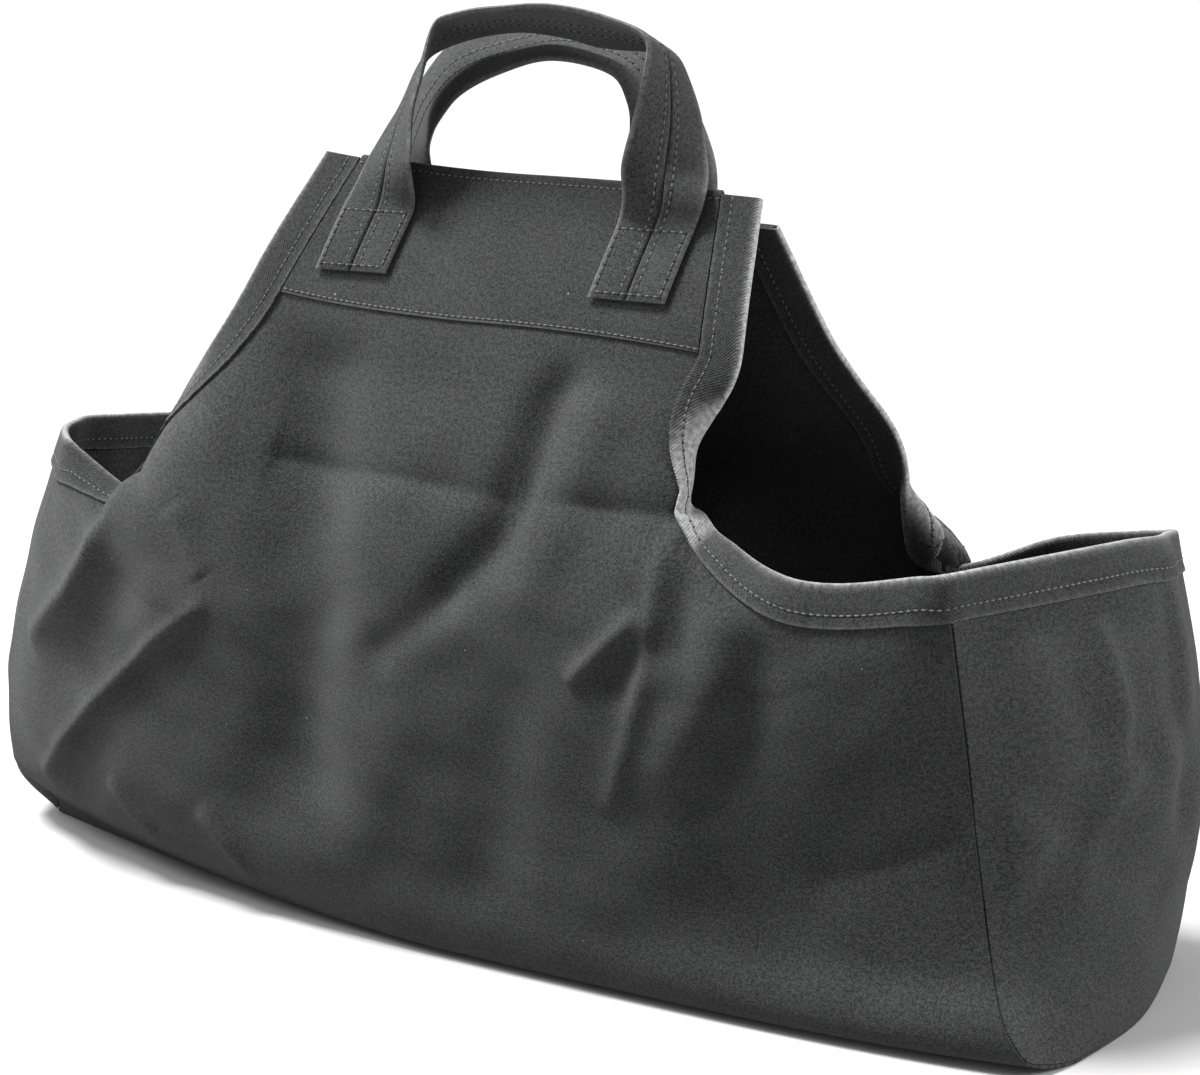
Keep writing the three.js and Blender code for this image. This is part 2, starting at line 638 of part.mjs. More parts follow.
function foldedTapeFaces(count) {
  const faces = [];
  for (let s = 0; s < count - 1; s++) {
    for (let k = 0; k < TAPE_CORNERS; k++) {
      const a = s * TAPE_CORNERS + k;
      const b = s * TAPE_CORNERS + ((k + 1) % TAPE_CORNERS);
      const c = b + TAPE_CORNERS;
      const d = a + TAPE_CORNERS;
      if (STARTS_INSIDE.has(k)) {
        faces.push([a, d, b], [d, c, b]);
      } else {
        faces.push([a, d, c], [a, c, b]);
      }
    }
  }
  const end = (count - 1) * TAPE_CORNERS;
  for (const [a, b, c, d] of TAPE_ENDS) {
    faces.push([a, b, c], [a, c, d]);
    faces.push([end + a, end + c, end + b], [end + a, end + d, end + c]);
  }
  return faces;
}

// Top band: a facing on the outside of one panel, between its bindings
function topBand(side, body) {
  const normals = body.cloth.normals();
  const rows = side === 'front' ? body.grid.slice(0, BAND_STEPS + 1) : body.grid.slice(-BAND_STEPS - 1);
  const cloth = new Cloth();
  const bandNormals = [];
  const grid = rows.map((row) => row.map((corner, c) => {
    const place = body.cloth.points[corner].clone();
    const neighbour = c === 0 ? 1 : STEPS.across - 1;
    if (c === 0 || c === STEPS.across) {
      place.addScaledVector(body.cloth.points[row[neighbour]].clone().sub(place).normalize(), GAP);
    }
    bandNormals.push(normals[corner]);
    return cloth.add(place);
  }));
  for (let r = 0; r < BAND_STEPS; r++) {
    for (let c = 0; c < STEPS.across; c++) {
      cloth.cells.push([grid[r][c], grid[r + 1][c], grid[r + 1][c + 1], grid[r][c + 1]]);
    }
  }
  return cloth.wall(TAPE_INNER, TAPE_INNER + FACING, bandNormals);
}

// Find the place on one panel at a given x and z
const SEARCH_ROUNDS = 8;

function onPanel(side, x, z) {
  let u = 0;
  let v = side === 'front' ? placeOf('front band') / 2 : (placeOf('back band') + LAST_V) / 2;
  for (let round = 0; round < SEARCH_ROUNDS; round++) {
    const place = sheet(u, v);
    const { across, along } = slopes(sheet, u, v);
    const missX = x - place.x;
    const missZ = z - place.z;
    const scale = across.x * along.z - across.z * along.x;
    u = THREE.MathUtils.clamp(u + (missX * along.z - missZ * along.x) / scale, -1, 1);
    v = THREE.MathUtils.clamp(v + (missZ * across.x - missX * across.z) / scale, 0, LAST_V);
  }
  return { place: sheet(u, v), normal: outward(sheet, u, v) };
}

// Handle: a flat strap from one foot, through its loop, to the other foot
const FOOT_GAP = 0.6;
const FOOT_LIFT = TAPE_INNER + FACING + FOOT_GAP + STRAP / 2;

function handle(side) {
  const { feet, loop } = HANDLES[side];
  const footRow = (x, z, reach) => [-1, 0, 1].map((place) => {
    const found = onPanel(side, x + place * reach, z);
    return found.place.addScaledVector(found.normal, FOOT_LIFT);
  });
  const half = STRAP_WIDTH / 2;
  const heights = evenly(feet.bottomZ, feet.topZ, STEPS.foot);
  const leftFoot = heights.map((z) => footRow(feet.leftX, z, -half));
  const rightFoot = heights.map((z) => footRow(feet.rightX, z, half)).reverse();

  const middle = (row) => ({ x: row[1].x, y: row[1].y, z: row[1].z });
  const stations = [
    { ...middle(leftFoot[leftFoot.length - 1]), yaw: feet.leftYaw, dip: 0 },
    ...loop,
    { ...middle(rightFoot[0]), yaw: feet.rightYaw, dip: 0 },
  ];
  const knots = [0];
  for (let i = 1; i < stations.length; i++) {
    const [a, b] = [stations[i - 1], stations[i]];
    knots.push(knots[i - 1] + Math.hypot(b.x - a.x, b.y - a.y, b.z - a.z));
  }
  const curve = Object.fromEntries(
    ['x', 'y', 'z', 'yaw', 'dip'].map((key) => [key, monotoneCurve(knots, stations.map((row) => row[key]))]),
  );
  const loopRows = evenly(0, knots[knots.length - 1], STEPS.loop).slice(1, -1).map((at) => {
    const yaw = THREE.MathUtils.degToRad(curve.yaw(at));
    const dip = THREE.MathUtils.degToRad(curve.dip(at));
    const width = new THREE.Vector3(Math.cos(yaw), Math.sin(yaw), -Math.tan(dip)).normalize();
    const centre = new THREE.Vector3(curve.x(at), curve.y(at), curve.z(at));
    return [-half, 0, half].map((reach) => centre.clone().addScaledVector(width, reach));
  });

  const cloth = new Cloth();
  const grid = [...leftFoot, ...loopRows, ...rightFoot].map((row) => row.map((place) => cloth.add(place)));
  for (let r = 0; r < grid.length - 1; r++) {
    for (let c = 0; c < 2; c++) {
      cloth.cells.push([grid[r][c], grid[r + 1][c], grid[r + 1][c + 1], grid[r][c + 1]]);
    }
  }
  return cloth.wall(-STRAP / 2, STRAP / 2);
}

function piece(name, geometry, finish) {
  const mesh = new THREE.Mesh(geometry, new THREE.MeshStandardMaterial(finish));
  mesh.name = name;
  return mesh;
}

// The whole bag, moved so that its origin is under the middle of its box
const body = bodySheet();
const gussets = { left: endGusset('left', body), right: endGusset('right', body) };
const bag = new THREE.Group();
bag.add(piece('body_sheet', body.cloth.wall(-CANVAS / 2, CANVAS / 2), BLACK_CANVAS));
for (const end of ['left', 'right']) {
  bag.add(piece(`end_gusset_${end}`, gussets[end].cloth.wall(-CANVAS / 2, CANVAS / 2), BLACK_CANVAS));
  bag.add(piece(`binding_${end}`, binding(end, body, gussets[end]), BLACK_TAPE));
}
for (const side of ['front', 'back']) {
  bag.add(piece(`top_band_${side}`, topBand(side, body), BLACK_CANVAS));
  bag.add(piece(`handle_${side}`, handle(side), BLACK_STRAP));
}
const box = new THREE.Box3().setFromObject(bag);
const centre = box.getCenter(new THREE.Vector3());
bag.position.set(-centre.x, -centre.y, -box.min.z);

export default bag;
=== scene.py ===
"""Dressed log carrier: a folded canvas sheet, sewn end walls, bound openings and strap handles."""

import logging
import math
from dataclasses import dataclass
from enum import Enum
from typing import Callable, Sequence

import bpy
import numpy as np
from mathutils import Matrix


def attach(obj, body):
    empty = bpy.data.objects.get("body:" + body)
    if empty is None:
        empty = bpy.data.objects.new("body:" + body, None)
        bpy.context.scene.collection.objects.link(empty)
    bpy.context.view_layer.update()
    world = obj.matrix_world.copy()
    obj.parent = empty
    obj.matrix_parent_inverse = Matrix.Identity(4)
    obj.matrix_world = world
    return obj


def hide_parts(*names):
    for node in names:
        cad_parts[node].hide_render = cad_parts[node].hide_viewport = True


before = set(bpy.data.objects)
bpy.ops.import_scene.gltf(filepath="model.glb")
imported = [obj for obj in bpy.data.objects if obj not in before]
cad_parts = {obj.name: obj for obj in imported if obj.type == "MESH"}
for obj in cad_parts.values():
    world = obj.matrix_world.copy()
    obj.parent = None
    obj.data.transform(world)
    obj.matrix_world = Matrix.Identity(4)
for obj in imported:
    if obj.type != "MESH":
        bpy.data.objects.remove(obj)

LOG = logging.getLogger("log_carrier")

Array = np.ndarray
Surface = Callable[[Array, Array], Array]

# The tables below are in millimetres about the bag's own middle, which stands here in the part
MM = 0.001
MIDDLE = np.array([11.4145, 3.7699, 0.0])

# Cloth thicknesses, a strap's own depth below its middle, the gaps between sewn pieces and how
# far stitches stand off their cloth
CANVAS = 1.6
TAPE = 1.2
FACING = 1.1
STRAP_LAYER = 1.1
STRAP_DEPTH = 1.5
GAP = 0.35
STRAP_GAP = 0.6
STITCH_LIFT = 0.05
BASE = CANVAS / 2
BINDING_WIDTH = 17.5

# Within this distance of a hem the tapes and the bands turn square to it
HEM_EASE = 30.0

# Wear on the ridges of folds, and the heights over which it comes in
RIDGE_WEAR = 0.16
RIDGE_HEIGHTS = (1.0, 4.5)


class Side(Enum):
    """The two panels that carry a handle."""

    FRONT = "front"
    BACK = "back"


class End(Enum):
    """The two ends of the bag, each with an end wall and an opening."""

    LEFT = "left"
    RIGHT = "right"

    @property
    def sign(self) -> int:
        """Direction of this end along X."""
        return -1 if self is End.LEFT else 1


@dataclass(frozen=True)
class Section:
    """One row of the sheet: its two ends, its middle, and how late it turns and climbs to them."""

    name: str
    left: tuple[float, float, float]
    middle: tuple[float, float]
    right: tuple[float, float, float]
    bend: tuple[float, float] = (4, 4)
    rise: tuple[float, float] = (2, 2)
    curl: tuple[float, float] = (0.0, 0.0)


SECTIONS = (
    Section("front hem", (-122, -12, 371), (-10, 364), (115, -12, 362), (2, 2)),
    Section("front band", (-146, -43, 312), (-44, 302), (121, -42, 294), (3, 2)),
    Section("front waist", (-181, -52, 252), (-72, 243), (102, -48, 247), (9, 13), (2, 3), (0, 0.07)),
    Section("front shoulder", (-198, -50, 215), (-84, 214), (103, -51, 227), (14, 14), (2, 5), (0.04, 0.1)),
    Section("front neck", (-200, -54, 202), (-91, 194), (128, -64, 213), (14, 13), (3, 6), (0.06, 0.08)),
    Section("front dip", (-212, -60, 192), (-98, 172), (176, -84, 203), (12, 6), (5, 6), (0.04, 0.02)),
    Section("front corner", (-259, -60, 217), (-104, 146), (243, -85, 215), (6, 3), (5, 6)),
    Section("front wall", (-289, -60, 145), (-107, 106), (254, -86, 148), (5, 4), (3, 4)),
    Section("front belly", (-307, -61, 84), (-108, 62), (264, -90, 84), (4, 4), (3, 3)),
    Section("front foot", (-306, -60, 38), (-107, 26), (276, -93, 32), (2.5, 4)),
    Section("front edge", (-291, -43, 12), (-102, 5), (291, -87, 7), (1.5, 4), (3, 2)),
    Section("base front", (-298, -34, BASE), (-86, BASE), (304, -60, BASE), (1.6, 4)),
    Section("base middle", (-310, 6, BASE), (0, BASE), (313, 0, BASE)),
    Section("base back", (-302, 60, BASE), (78, BASE), (306, 60, BASE)),
    Section("back edge", (-301, 84, 7), (93, 5), (302, 84, 7)),
    Section("back foot", (-304, 92, 34), (99, 26), (303, 92, 34)),
    Section("back belly", (-307, 95, 88), (101, 56), (303, 95, 88), rise=(3, 3)),
    Section("back wall", (-306, 95, 145), (101, 88), (299, 95, 145), rise=(4, 4)),
    Section("back corner", (-302, 92, 203), (99, 116), (287, 93, 205), (3, 3), (6, 6)),
    Section("back rim", (-240, 91, 190), (96, 138), (232, 91, 195), (3, 3), (6, 6)),
    Section("back dip", (-178, 86, 178), (92, 160), (184, 74, 178), (3, 7), (5, 5), (0, 0.12)),
    Section("back neck", (-158, 80, 184), (87, 184), (166, 66, 184), (3, 8), (4, 4), (0, 0.21)),
    Section("back shoulder", (-158, 72, 204), (80, 208), (164, 61, 204), (3, 8), (3, 3), (0, 0.13)),
    Section("back waist", (-163, 58, 240), (62, 240), (161, 57, 236), (3, 4)),
    Section("back band", (-140, 31, 296), (33, 291), (132, 31, 294), (2, 2)),
    Section("back hem", (-120, 10, 352), (9, 349), (113, 10, 347), (2, 2)),
)


@dataclass(frozen=True)
class Fold:
    """A fold along a line on one panel or end wall: a ridge above zero or a valley below.

    A crisp fold falls off straight beside a narrow rounded top and tapers to its ends.
    """

    FALL = 1.7
    ROUNDING = 0.05
    TOP = 0.22
    TAPER = 0.4

    line: tuple[tuple[float, float], ...]
    width: float
    height: float
    crisp: bool = False

    def lift(self, across: Array, up: Array) -> Array:
        """Height of the fold at places on its panel.

        Args:
            across: the places' distance along the panel, in mm.
            up: the places' height, in mm.

        Returns:
            How far each place is lifted off the plain cloth, in mm.
        """
        away = np.full(across.shape, np.inf)
        share = np.zeros(across.shape)
        count = len(self.line) - 1
        for i, ((ax, az), (bx, bz)) in enumerate(zip(self.line, self.line[1:])):
            run = (bx - ax) ** 2 + (bz - az) ** 2
            t = np.clip(((across - ax) * (bx - ax) + (up - az) * (bz - az)) / run, 0, 1)
            distance = np.hypot(across - ax - t * (bx - ax), up - az - t * (bz - az))
            nearer = distance < away
            away = np.where(nearer, distance, away)
            share = np.where(nearer, (i + t) / count, share)
        reach = away / self.width
        if not self.crisp:
            return self.height * np.exp(-reach * reach)
        taper = np.clip(4 * share * (1 - share), 0, 1) ** self.TAPER
        fall = np.sqrt(reach * reach + self.ROUNDING) - self.TOP
        return self.height * taper * np.exp(-self.FALL * fall)


FRONT_FOLDS = (
    Fold(((-118, 231), (-91, 229), (-37, 227), (22, 224)), 18, -3.6, True),
    Fold(((-122, 231), (-91, 229), (-37, 227), (26, 224)), 7, -2.4, True),
    Fold(((42, 225), (108, 226)), 16, -2.8, True),
    Fold(((38, 225), (112, 226)), 7, -2.2, True),
    Fold(((38, 276), (34, 268), (31, 252), (28, 226), (21, 206), (0, 182)), 12, -7.5),
    Fold(((60, 262), (54, 226), (40, 190)), 14, 4.0),
    Fold(((-8, 171), (-20, 159), (-33, 150)), 10, -4.5),
    Fold(((-100, 268), (-92, 232), (-87, 207), (-78, 162), (-76, 92)), 28, -13),
    Fold(((-168, 226), (-178, 190), (-166, 150)), 26, 6),
    Fold(((-46, 208), (-52, 150), (-54, 96)), 26, 4),
    Fold(((108, 222), (108, 204), (108, 181), (107, 154), (101, 123), (92, 90)), 9, 5.0, True),
    Fold(((103, 183), (84, 163), (70, 148)), 8, 6.5, True),
    Fold(((108, 168), (96, 150)), 8, -3.5),
    Fold(((119, 212), (124, 172)), 8, -2.6),
    Fold(((140, 180), (138, 152), (122, 116)), 14, 5.0),
    Fold(((160, 172), (158, 140), (138, 104)), 12, -3.5),
    Fold(((190, 66), (268, 78)), 75, -15),
    Fold(((186, 71), (217, 81), (239, 92), (258, 104)), 9, -3.0, True),
    Fold(((-137, 157), (-169, 131), (-209, 97), (-270, 38)), 7, 5.5, True),
    Fold(((-150, 136), (-190, 96), (-236, 46)), 16, -2.0),
    Fold(((-192, 206), (-200, 190), (-212, 172), (-231, 146), (-274, 114)), 12, 10.0, True),
    Fold(((-186, 160), (-212, 128), (-250, 92)), 16, -2.0),
    Fold(((-163, 199), (-141, 169)), 8, 3.0, True),
    Fold(((-141, 51), (-124, 34), (-111, 15)), 8, 4.0, True),
    Fold(((-207, 54), (-194, 40), (-179, 29)), 7, 3.0, True),
    Fold(((-20, 120), (-46, 60)), 20, 3.0),
    Fold(((40, 130), (30, 50)), 22, -4.0),
)

BACK_FOLDS = (
    Fold(((-110, 240), (100, 236)), 7, -1.8, True),
    Fold(((40, 285), (10, 160)), 20, -5),
    Fold(((-70, 270), (-110, 120)), 24, 4.5),
    Fold(((150, 140), (210, 60)), 18, -5),
    Fold(((-160, 150), (-230, 70)), 18, -5),
    Fold(((-120, 196), (-190, 112)), 7, 2.6, True),
    Fold(((130, 190), (192, 118)), 7, 2.8, True),
    Fold(((120, 70), (60, 30)), 7, 1.8, True),
    Fold(((-30, 150), (-20, 40)), 24, 2.4),
)

LEFT_FOLDS = (
    Fold(((30, 205), (22, 110)), 14, 6),
    Fold(((-20, 90), (10, 60)), 16, -7),
    Fold(((50, 190), (60, 90)), 12, -3),
    Fold(((0, 180), (-10, 110)), 9, 2.5, True),
)

RIGHT_FOLDS = (
    Fold(((40, 205), (30, 160), (18, 120)), 13, 6),
    Fold(((-68, 118), (-54, 96), (-70, 62)), 11, 7.0, True),
    Fold(((-76, 106), (-74, 78)), 10, -7.0),
    Fold(((-30, 90), (5, 62)), 16, -8),
    Fold(((-16, 190), (-14, 146), (-22, 118)), 8, 5.0, True),
    Fold(((34, 190), (20, 146), (26, 90)), 9, -6.0),
    Fold(((-52, 178), (-44, 132)), 14, 5.0),
    Fold(((-8, 126), (-28, 100), (-40, 62)), 11, 6.0, True),
    Fold(((52, 150), (44, 96), (50, 48)), 10, 5.0, True),
)


class MonotoneCurve:
    """A smooth curve through values at rising knots that never swings past them."""

    def __init__(self, knots: Sequence[float], values: Sequence[float]) -> None:
        """Keep the knots, the values and the slope at each knot.

        Args:
            knots: rising places along the curve.
            values: the curve's value at each knot.
        """
        self.knots = np.asarray(knots, float)
        self.values = np.asarray(values, float)
        slopes = np.diff(self.values) / np.diff(self.knots)
        before = np.concatenate([slopes[:1], slopes])
        after = np.concatenate([slopes, slopes[-1:]])
        same_way = before * after > 0
        total = np.where(same_way, before + after, 1.0)
        self.tangents = np.where(same_way, 2 * before * after / total, 0.0)

    def __call__(self, at: Array) -> Array:
        """Value of the curve at each place."""
        i = np.clip(np.searchsorted(self.knots, at) - 1, 0, len(self.knots) - 2)
        span = self.knots[i + 1] - self.knots[i]
        t = (at - self.knots[i]) / span
        first = self.tangents[i] * t * (1 - t) ** 2
        last = self.tangents[i + 1] * t * t * (1 - t)
        step = self.values[i + 1] - self.values[i]
        return self.values[i] + step * t * t * (3 - 2 * t) + span * (first - last)


class BrokenCurve:
    """Monotone curves joined end to end, with a corner at each join."""

    def __init__(self, knots: Array, values: Array, breaks: Sequence[int]) -> None:
        """Split the knots at the given indices.

        Args:
            knots: rising places along the curve.
            values: the curve's value at each knot.
            breaks: indices of the knots where the curve has a corner.
        """
        ends = [0, *breaks, len(knots) - 1]
        spans = [slice(a, b + 1) for a, b in zip(ends, ends[1:])]
        self.parts = [MonotoneCurve(knots[span], values[span]) for span in spans]
        self.joins = [knots[i] for i in breaks]

    def __call__(self, at: Array) -> Array:
        """Value of the curve at each place."""
        return np.choose(np.searchsorted(self.joins, at), [curve(at) for curve in self.parts])


def smooth_step(start: float, end: float, value: Array) -> Array:
    """Rise smoothly from 0 at start to 1 at end."""
    t = np.clip((value - start) / (end - start), 0, 1)
    return t * t * (3 - 2 * t)


def bell(value: Array, middle: float, width: float) -> Array:
    """A smooth bump of height one about a middle."""
    return np.exp(-(((value - middle) / width) ** 2))


def unit(vectors: Array) -> Array:
    """Vectors of length one in the same directions."""
    return vectors / np.maximum(np.linalg.norm(vectors, axis=-1, keepdims=True), 1e-12)


def run_lengths(places: Array) -> Array:
    """Distance of each place along a line of places."""
    steps = np.linalg.norm(np.diff(places, axis=0), axis=1)
    return np.concatenate([[0.0], np.cumsum(steps)])


def sampled(rows: Array, run: Array, at: Array) -> Array:
    """Rows at some distances along a line, between rows at known distances.

    Args:
        rows: the known rows.
        run: the rising distance of each known row.
        at: the wanted distances.

    Returns:
        The wanted rows, with the shape of at before the shape of a row.
    """
    columns = [np.interp(at, run, column) for column in rows.reshape(len(rows), -1).T]
    return np.stack(columns, -1).reshape(*np.shape(at), *rows.shape[1:])


def turned_over(
    edge: tuple[Array, Array, Array], radius: float, clear: float, turns: Sequence[float]
) -> tuple[list[Array], list[Array]]:
    """Rows of cloth where it is turned over an edge.

    Args:
        edge: the edge's places, its outward normals and the directions beyond it.
        radius: how far the cloth stands off the turn's middle, in mm.
        clear: how far beyond the edge the turn's middle lies, in mm.
        turns: the rows' angles from the outward normal, in degrees.

    Returns:
        The places and the normals of each row.
    """
    places, normals, beyond = edge
    ways = [normals * math.cos(a) + beyond * math.sin(a) for a in np.radians(turns)]
    return [places + beyond * clear + way * radius for way in ways], ways


def eased(values: Array, spread: float) -> Array:
    """Values along their first axis, softened over some steps each way.

    Args:
        values: the rows to soften; the first and last stay as they are.
        spread: how many rows the softening reaches.

    Returns:
        The softened rows.
    """
    reach = int(3 * spread)
    kernel = np.exp(-0.5 * (np.arange(-reach, reach + 1) / spread) ** 2)
    kernel /= kernel.sum()
    flat = values.reshape(len(values), -1)
    start = 2 * flat[:1] - flat[reach:0:-1]
    end = 2 * flat[-1:] - flat[-2 : -reach - 2 : -1]
    padded = np.concatenate([start, flat, end])
    soft = np.stack([np.convolve(column, kernel, "valid") for column in padded.T], axis=1)
    return soft.reshape(values.shape)


class BagSheet:
    """The canvas sheet as one surface.

    u runs across it from the left end (-1) to the right end (1), and v along the cloth from the
    front hem to the back hem, in mm.
    """

    STEP_U = 0.004
    STEP_V = 0.5
    SEARCH_STEPS = 9
    # Folds come in over these heights above the floor, and below the bands over this distance
    FADE = (8.0, 40.0)
    BAND_EASE = 34.0
    BAND_SHARE = 0.12
    # A curled edge swings out and back this late on its way to the end
    CURL_LATE = 6
    RIPPLES = 14
    RIPPLE_WAVES = (28, 90)
    RIPPLE_HEIGHT = 0.003

    def __init__(self) -> None:
        """Draw the curves through the sections."""
        self.names = [section.name for section in SECTIONS]
        left = np.array([section.left for section in SECTIONS], float)
        right = np.array([section.right for section in SECTIONS], float)
        middle = np.array([section.middle for section in SECTIONS], float)
        steps = [np.linalg.norm(np.diff(row, axis=0), axis=1) for row in (left, middle, right)]
        self.along = np.concatenate([[0.0], np.cumsum(np.mean(steps, axis=0))])
        self.length = float(self.along[-1])
        corners = [self.names.index("front corner"), self.names.index("back corner")]
        self.middle = [MonotoneCurve(self.along, middle[:, i]) for i in range(2)]
        self.ends = {}
        for i, (end, places) in enumerate(((End.LEFT, left), (End.RIGHT, right))):
            turns = np.array([(row.bend[i], row.rise[i], row.curl[i]) for row in SECTIONS], float)
            columns = [*places.T, *turns.T]
            self.ends[end] = [BrokenCurve(self.along, column, corners) for column in columns]
        self.front_corner = self.at("front corner")
        self.back_corner = self.at("back corner")
        self.base_middle = (self.at("base front") + self.at("base back")) / 2
        rng = np.random.default_rng(11)
        self.ripples = [
            (rng.uniform(0, math.tau), rng.uniform(0, math.tau), rng.uniform(*self.RIPPLE_WAVES))
            for _ in range(self.RIPPLES)
        ]

    def at(self, name: str) -> float:
        """Place of a named section along the cloth."""
        return float(self.along[self.names.index(name)])

    def plain(self, u: Array, v: Array) -> Array:
        """Places on the sheet without its folds.

        Args:
            u: places across the sheet.
            v: places along it.

        Returns:
            Points in mm, with one more axis than u and v.
        """
        u, v = np.broadcast_arrays(np.asarray(u, float), np.asarray(v, float))
        reach = np.abs(u)
        to_right = u > 0
        left = [curve(v) for curve in self.ends[End.LEFT]]
        right = [curve(v) for curve in self.ends[End.RIGHT]]
        x, y, z, bend, rise, curl = (np.where(to_right, b, a) for a, b in zip(left, right))
        middle_x = (left[0] + right[0]) / 2
        middle_y, middle_z = (curve(v) for curve in self.middle)
        late = reach**self.CURL_LATE
        out = reach + curl * 4 * late * (1 - late)
        return np.stack(
            [
                middle_x + (x - middle_x) * out,
                middle_y + (y - middle_y) * reach**bend,
                middle_z + (z - middle_z) * reach**rise,
            ],
            axis=-1,
        )

    def slopes(self, surface: Surface, u: Array, v: Array) -> tuple[Array, Array]:
        """How a surface runs across and along at some places.

        Args:
            surface: the plain or the folded surface.
            u: places across the sheet.
            v: places along it.

        Returns:
            The slopes across and along.
        """
        u0, u1 = np.maximum(u - self.STEP_U, -1), np.minimum(u + self.STEP_U, 1)
        v0, v1 = np.maximum(v - self.STEP_V, 0), np.minimum(v + self.STEP_V, self.length)
        across = (surface(u1, v) - surface(u0, v)) / (u1 - u0)[..., None]
        along = (surface(u, v1) - surface(u, v0)) / (v1 - v0)[..., None]
        return across, along

    def outward(self, surface: Surface, u: Array, v: Array) -> Array:
        """Unit normals of a surface that point out of the bag."""
        across, along = self.slopes(surface, u, v)
        return unit(np.cross(along, across))

    def relief(self, places: Array, v: Array) -> Array:
        """Height of all folds and of the cloth's small unevenness.

        Args:
            places: plain places on the sheet.
            v: their places along the cloth.

        Returns:
            Heights off the plain sheet, in mm.
        """
        x, z = places[..., 0], places[..., 2]
        front = sum(fold.lift(x, z) for fold in FRONT_FOLDS)
        back = sum(fold.lift(x, z) for fold in BACK_FOLDS)
        height = np.where(v < self.base_middle, front, back)
        for phase, turn, wave in self.ripples:
            swing = (x * math.cos(turn) + v * math.sin(turn)) * math.tau / wave
            height = height + self.RIPPLE_HEIGHT * wave * np.sin(swing + phase)
        below = np.minimum(v - self.at("front band"), self.at("back band") - v)
        loose = self.BAND_SHARE + (1 - self.BAND_SHARE) * smooth_step(0, self.BAND_EASE, below)
        return height * loose * smooth_step(*self.FADE, z)

    def place(self, u: Array, v: Array) -> Array:
        """Places on the sheet with its folds."""
        u, v = np.broadcast_arrays(np.asarray(u, float), np.asarray(v, float))
        plain = self.plain(u, v)
        return plain + self.outward(self.plain, u, v) * self.relief(plain, v)[..., None]

    def toward(self, target: Array, u: Array, v: Array) -> tuple[Array, Array]:
        """One step of a search for the places that are nearest to some targets.

        Args:
            target: points near the plain sheet.
            u: places across from which the search steps.
            v: places along from which the search steps.

        Returns:
            The better places across and along.
        """
        across, along = self.slopes(self.plain, u, v)
        miss = target - self.plain(u, v)
        aa, al, ll = (np.sum(p * q, -1) for p, q in ((across, across), (across, along), (along, along)))
        am, lm = np.sum(across * miss, -1), np.sum(along * miss, -1)
        scale = aa * ll - al * al
        new_u = np.clip(u + (am * ll - lm * al) / scale, -1, 1)
        new_v = np.clip(v + (lm * aa - am * al) / scale, 0, self.length)
        return new_u, new_v

    def inward(self, end: End, v: Array, width: float, strides: int) -> tuple[Array, Array]:
        """Walk in from the free edge over the sheet, square to the edge.

        Args:
            end: which end's edge.
            v: places along the edge.
            width: how far to walk, in mm.
            strides: in how many strides.

        Returns:
            Places across and along, one row for each stride and one for the edge itself.
        """
        front = np.minimum(v, self.front_corner - self.STEP_V)
        back = np.maximum(v, self.back_corner + self.STEP_V)
        inside = np.where(v < self.base_middle, front, back)
        edge_u = np.full(v.shape, float(end.sign))
        across, along = self.slopes(self.plain, edge_u, inside)
        edge_way = unit(along)
        square = across - edge_way * np.sum(across * edge_way, -1, keepdims=True)
        way = unit(-end.sign * square)
        places = [(edge_u, v.astype(float))]
        here = self.plain(*places[0])
        for _ in range(strides):
            u, w = self.toward(here + way * (width / strides), *places[-1])
            following = self.plain(u, w)
            way = unit(following - here)
            here = following
            places.append((u, w))
        across, along = (np.stack(rows) for rows in zip(*places))
        return across, along

    def on_panel(self, side: Side, x: Array, z: Array) -> tuple[Array, Array]:
        """Find the places on one panel at given x and z.

        Args:
            side: which panel.
            x: wanted places along the bag, in mm.
            z: wanted heights, in mm.

        Returns:
            Points on the folded sheet and their outward normals.
        """
        x, z = np.broadcast_arrays(np.asarray(x, float), np.asarray(z, float))
        u = np.zeros(x.shape)
        start = self.at("front band") / 2
        if side is Side.BACK:
            start = (self.at("back band") + self.length) / 2
        v = np.full(x.shape, start)
        for _ in range(self.SEARCH_STEPS):
            place = self.place(u, v)
            across, along = self.slopes(self.place, u, v)
            miss_x, miss_z = x - place[..., 0], z - place[..., 2]
            scale = across[..., 0] * along[..., 2] - across[..., 2] * along[..., 0]
            u = np.clip(u + (miss_x * along[..., 2] - miss_z * along[..., 0]) / scale, -1, 1)
            v = np.clip(v + (miss_z * across[..., 0] - miss_x * across[..., 2]) / scale, 0, self.length)
        return self.place(u, v), self.outward(self.place, u, v)


class Value:
    """A node's output that takes part in Python arithmetic."""

    def __init__(self, graph: "Graph", socket: bpy.types.NodeSocket) -> None:
        """Keep the graph that new nodes go into and the socket."""
        self.graph = graph
        self.socket = socket

    def math(self, operation: str, *others: "Value | float") -> "Value":
        """Result of a Math node on this value and some others."""
        inputs = dict(enumerate((self, *others)))
        return self.graph.node("ShaderNodeMath", {"operation": operation}, inputs)

    def __add__(self, other: "Value | float") -> "Value":
        """This value plus another."""
        return self.math("ADD", other)

    def __mul__(self, other: "Value | float") -> "Value":
        """This value times another."""
        return self.math("MULTIPLY", other)

    def __rsub__(self, other: float) -> "Value":
        """A number less this value."""
        return self.math("MULTIPLY_ADD", -1.0, other)

    def sine(self) -> "Value":
        """Sine of this value."""
        return self.math("SINE")

    def ramp(self, start: float, end: float) -> "Value":
        """Rise smoothly from 0 at start to 1 at end."""
        settings = {"interpolation_type": "SMOOTHSTEP"}
        inputs = {"Value": self, "From Min": start, "From Max": end}
        return self.graph.node("ShaderNodeMapRange", settings, inputs)


Input = "Value | float | tuple[float, ...]"


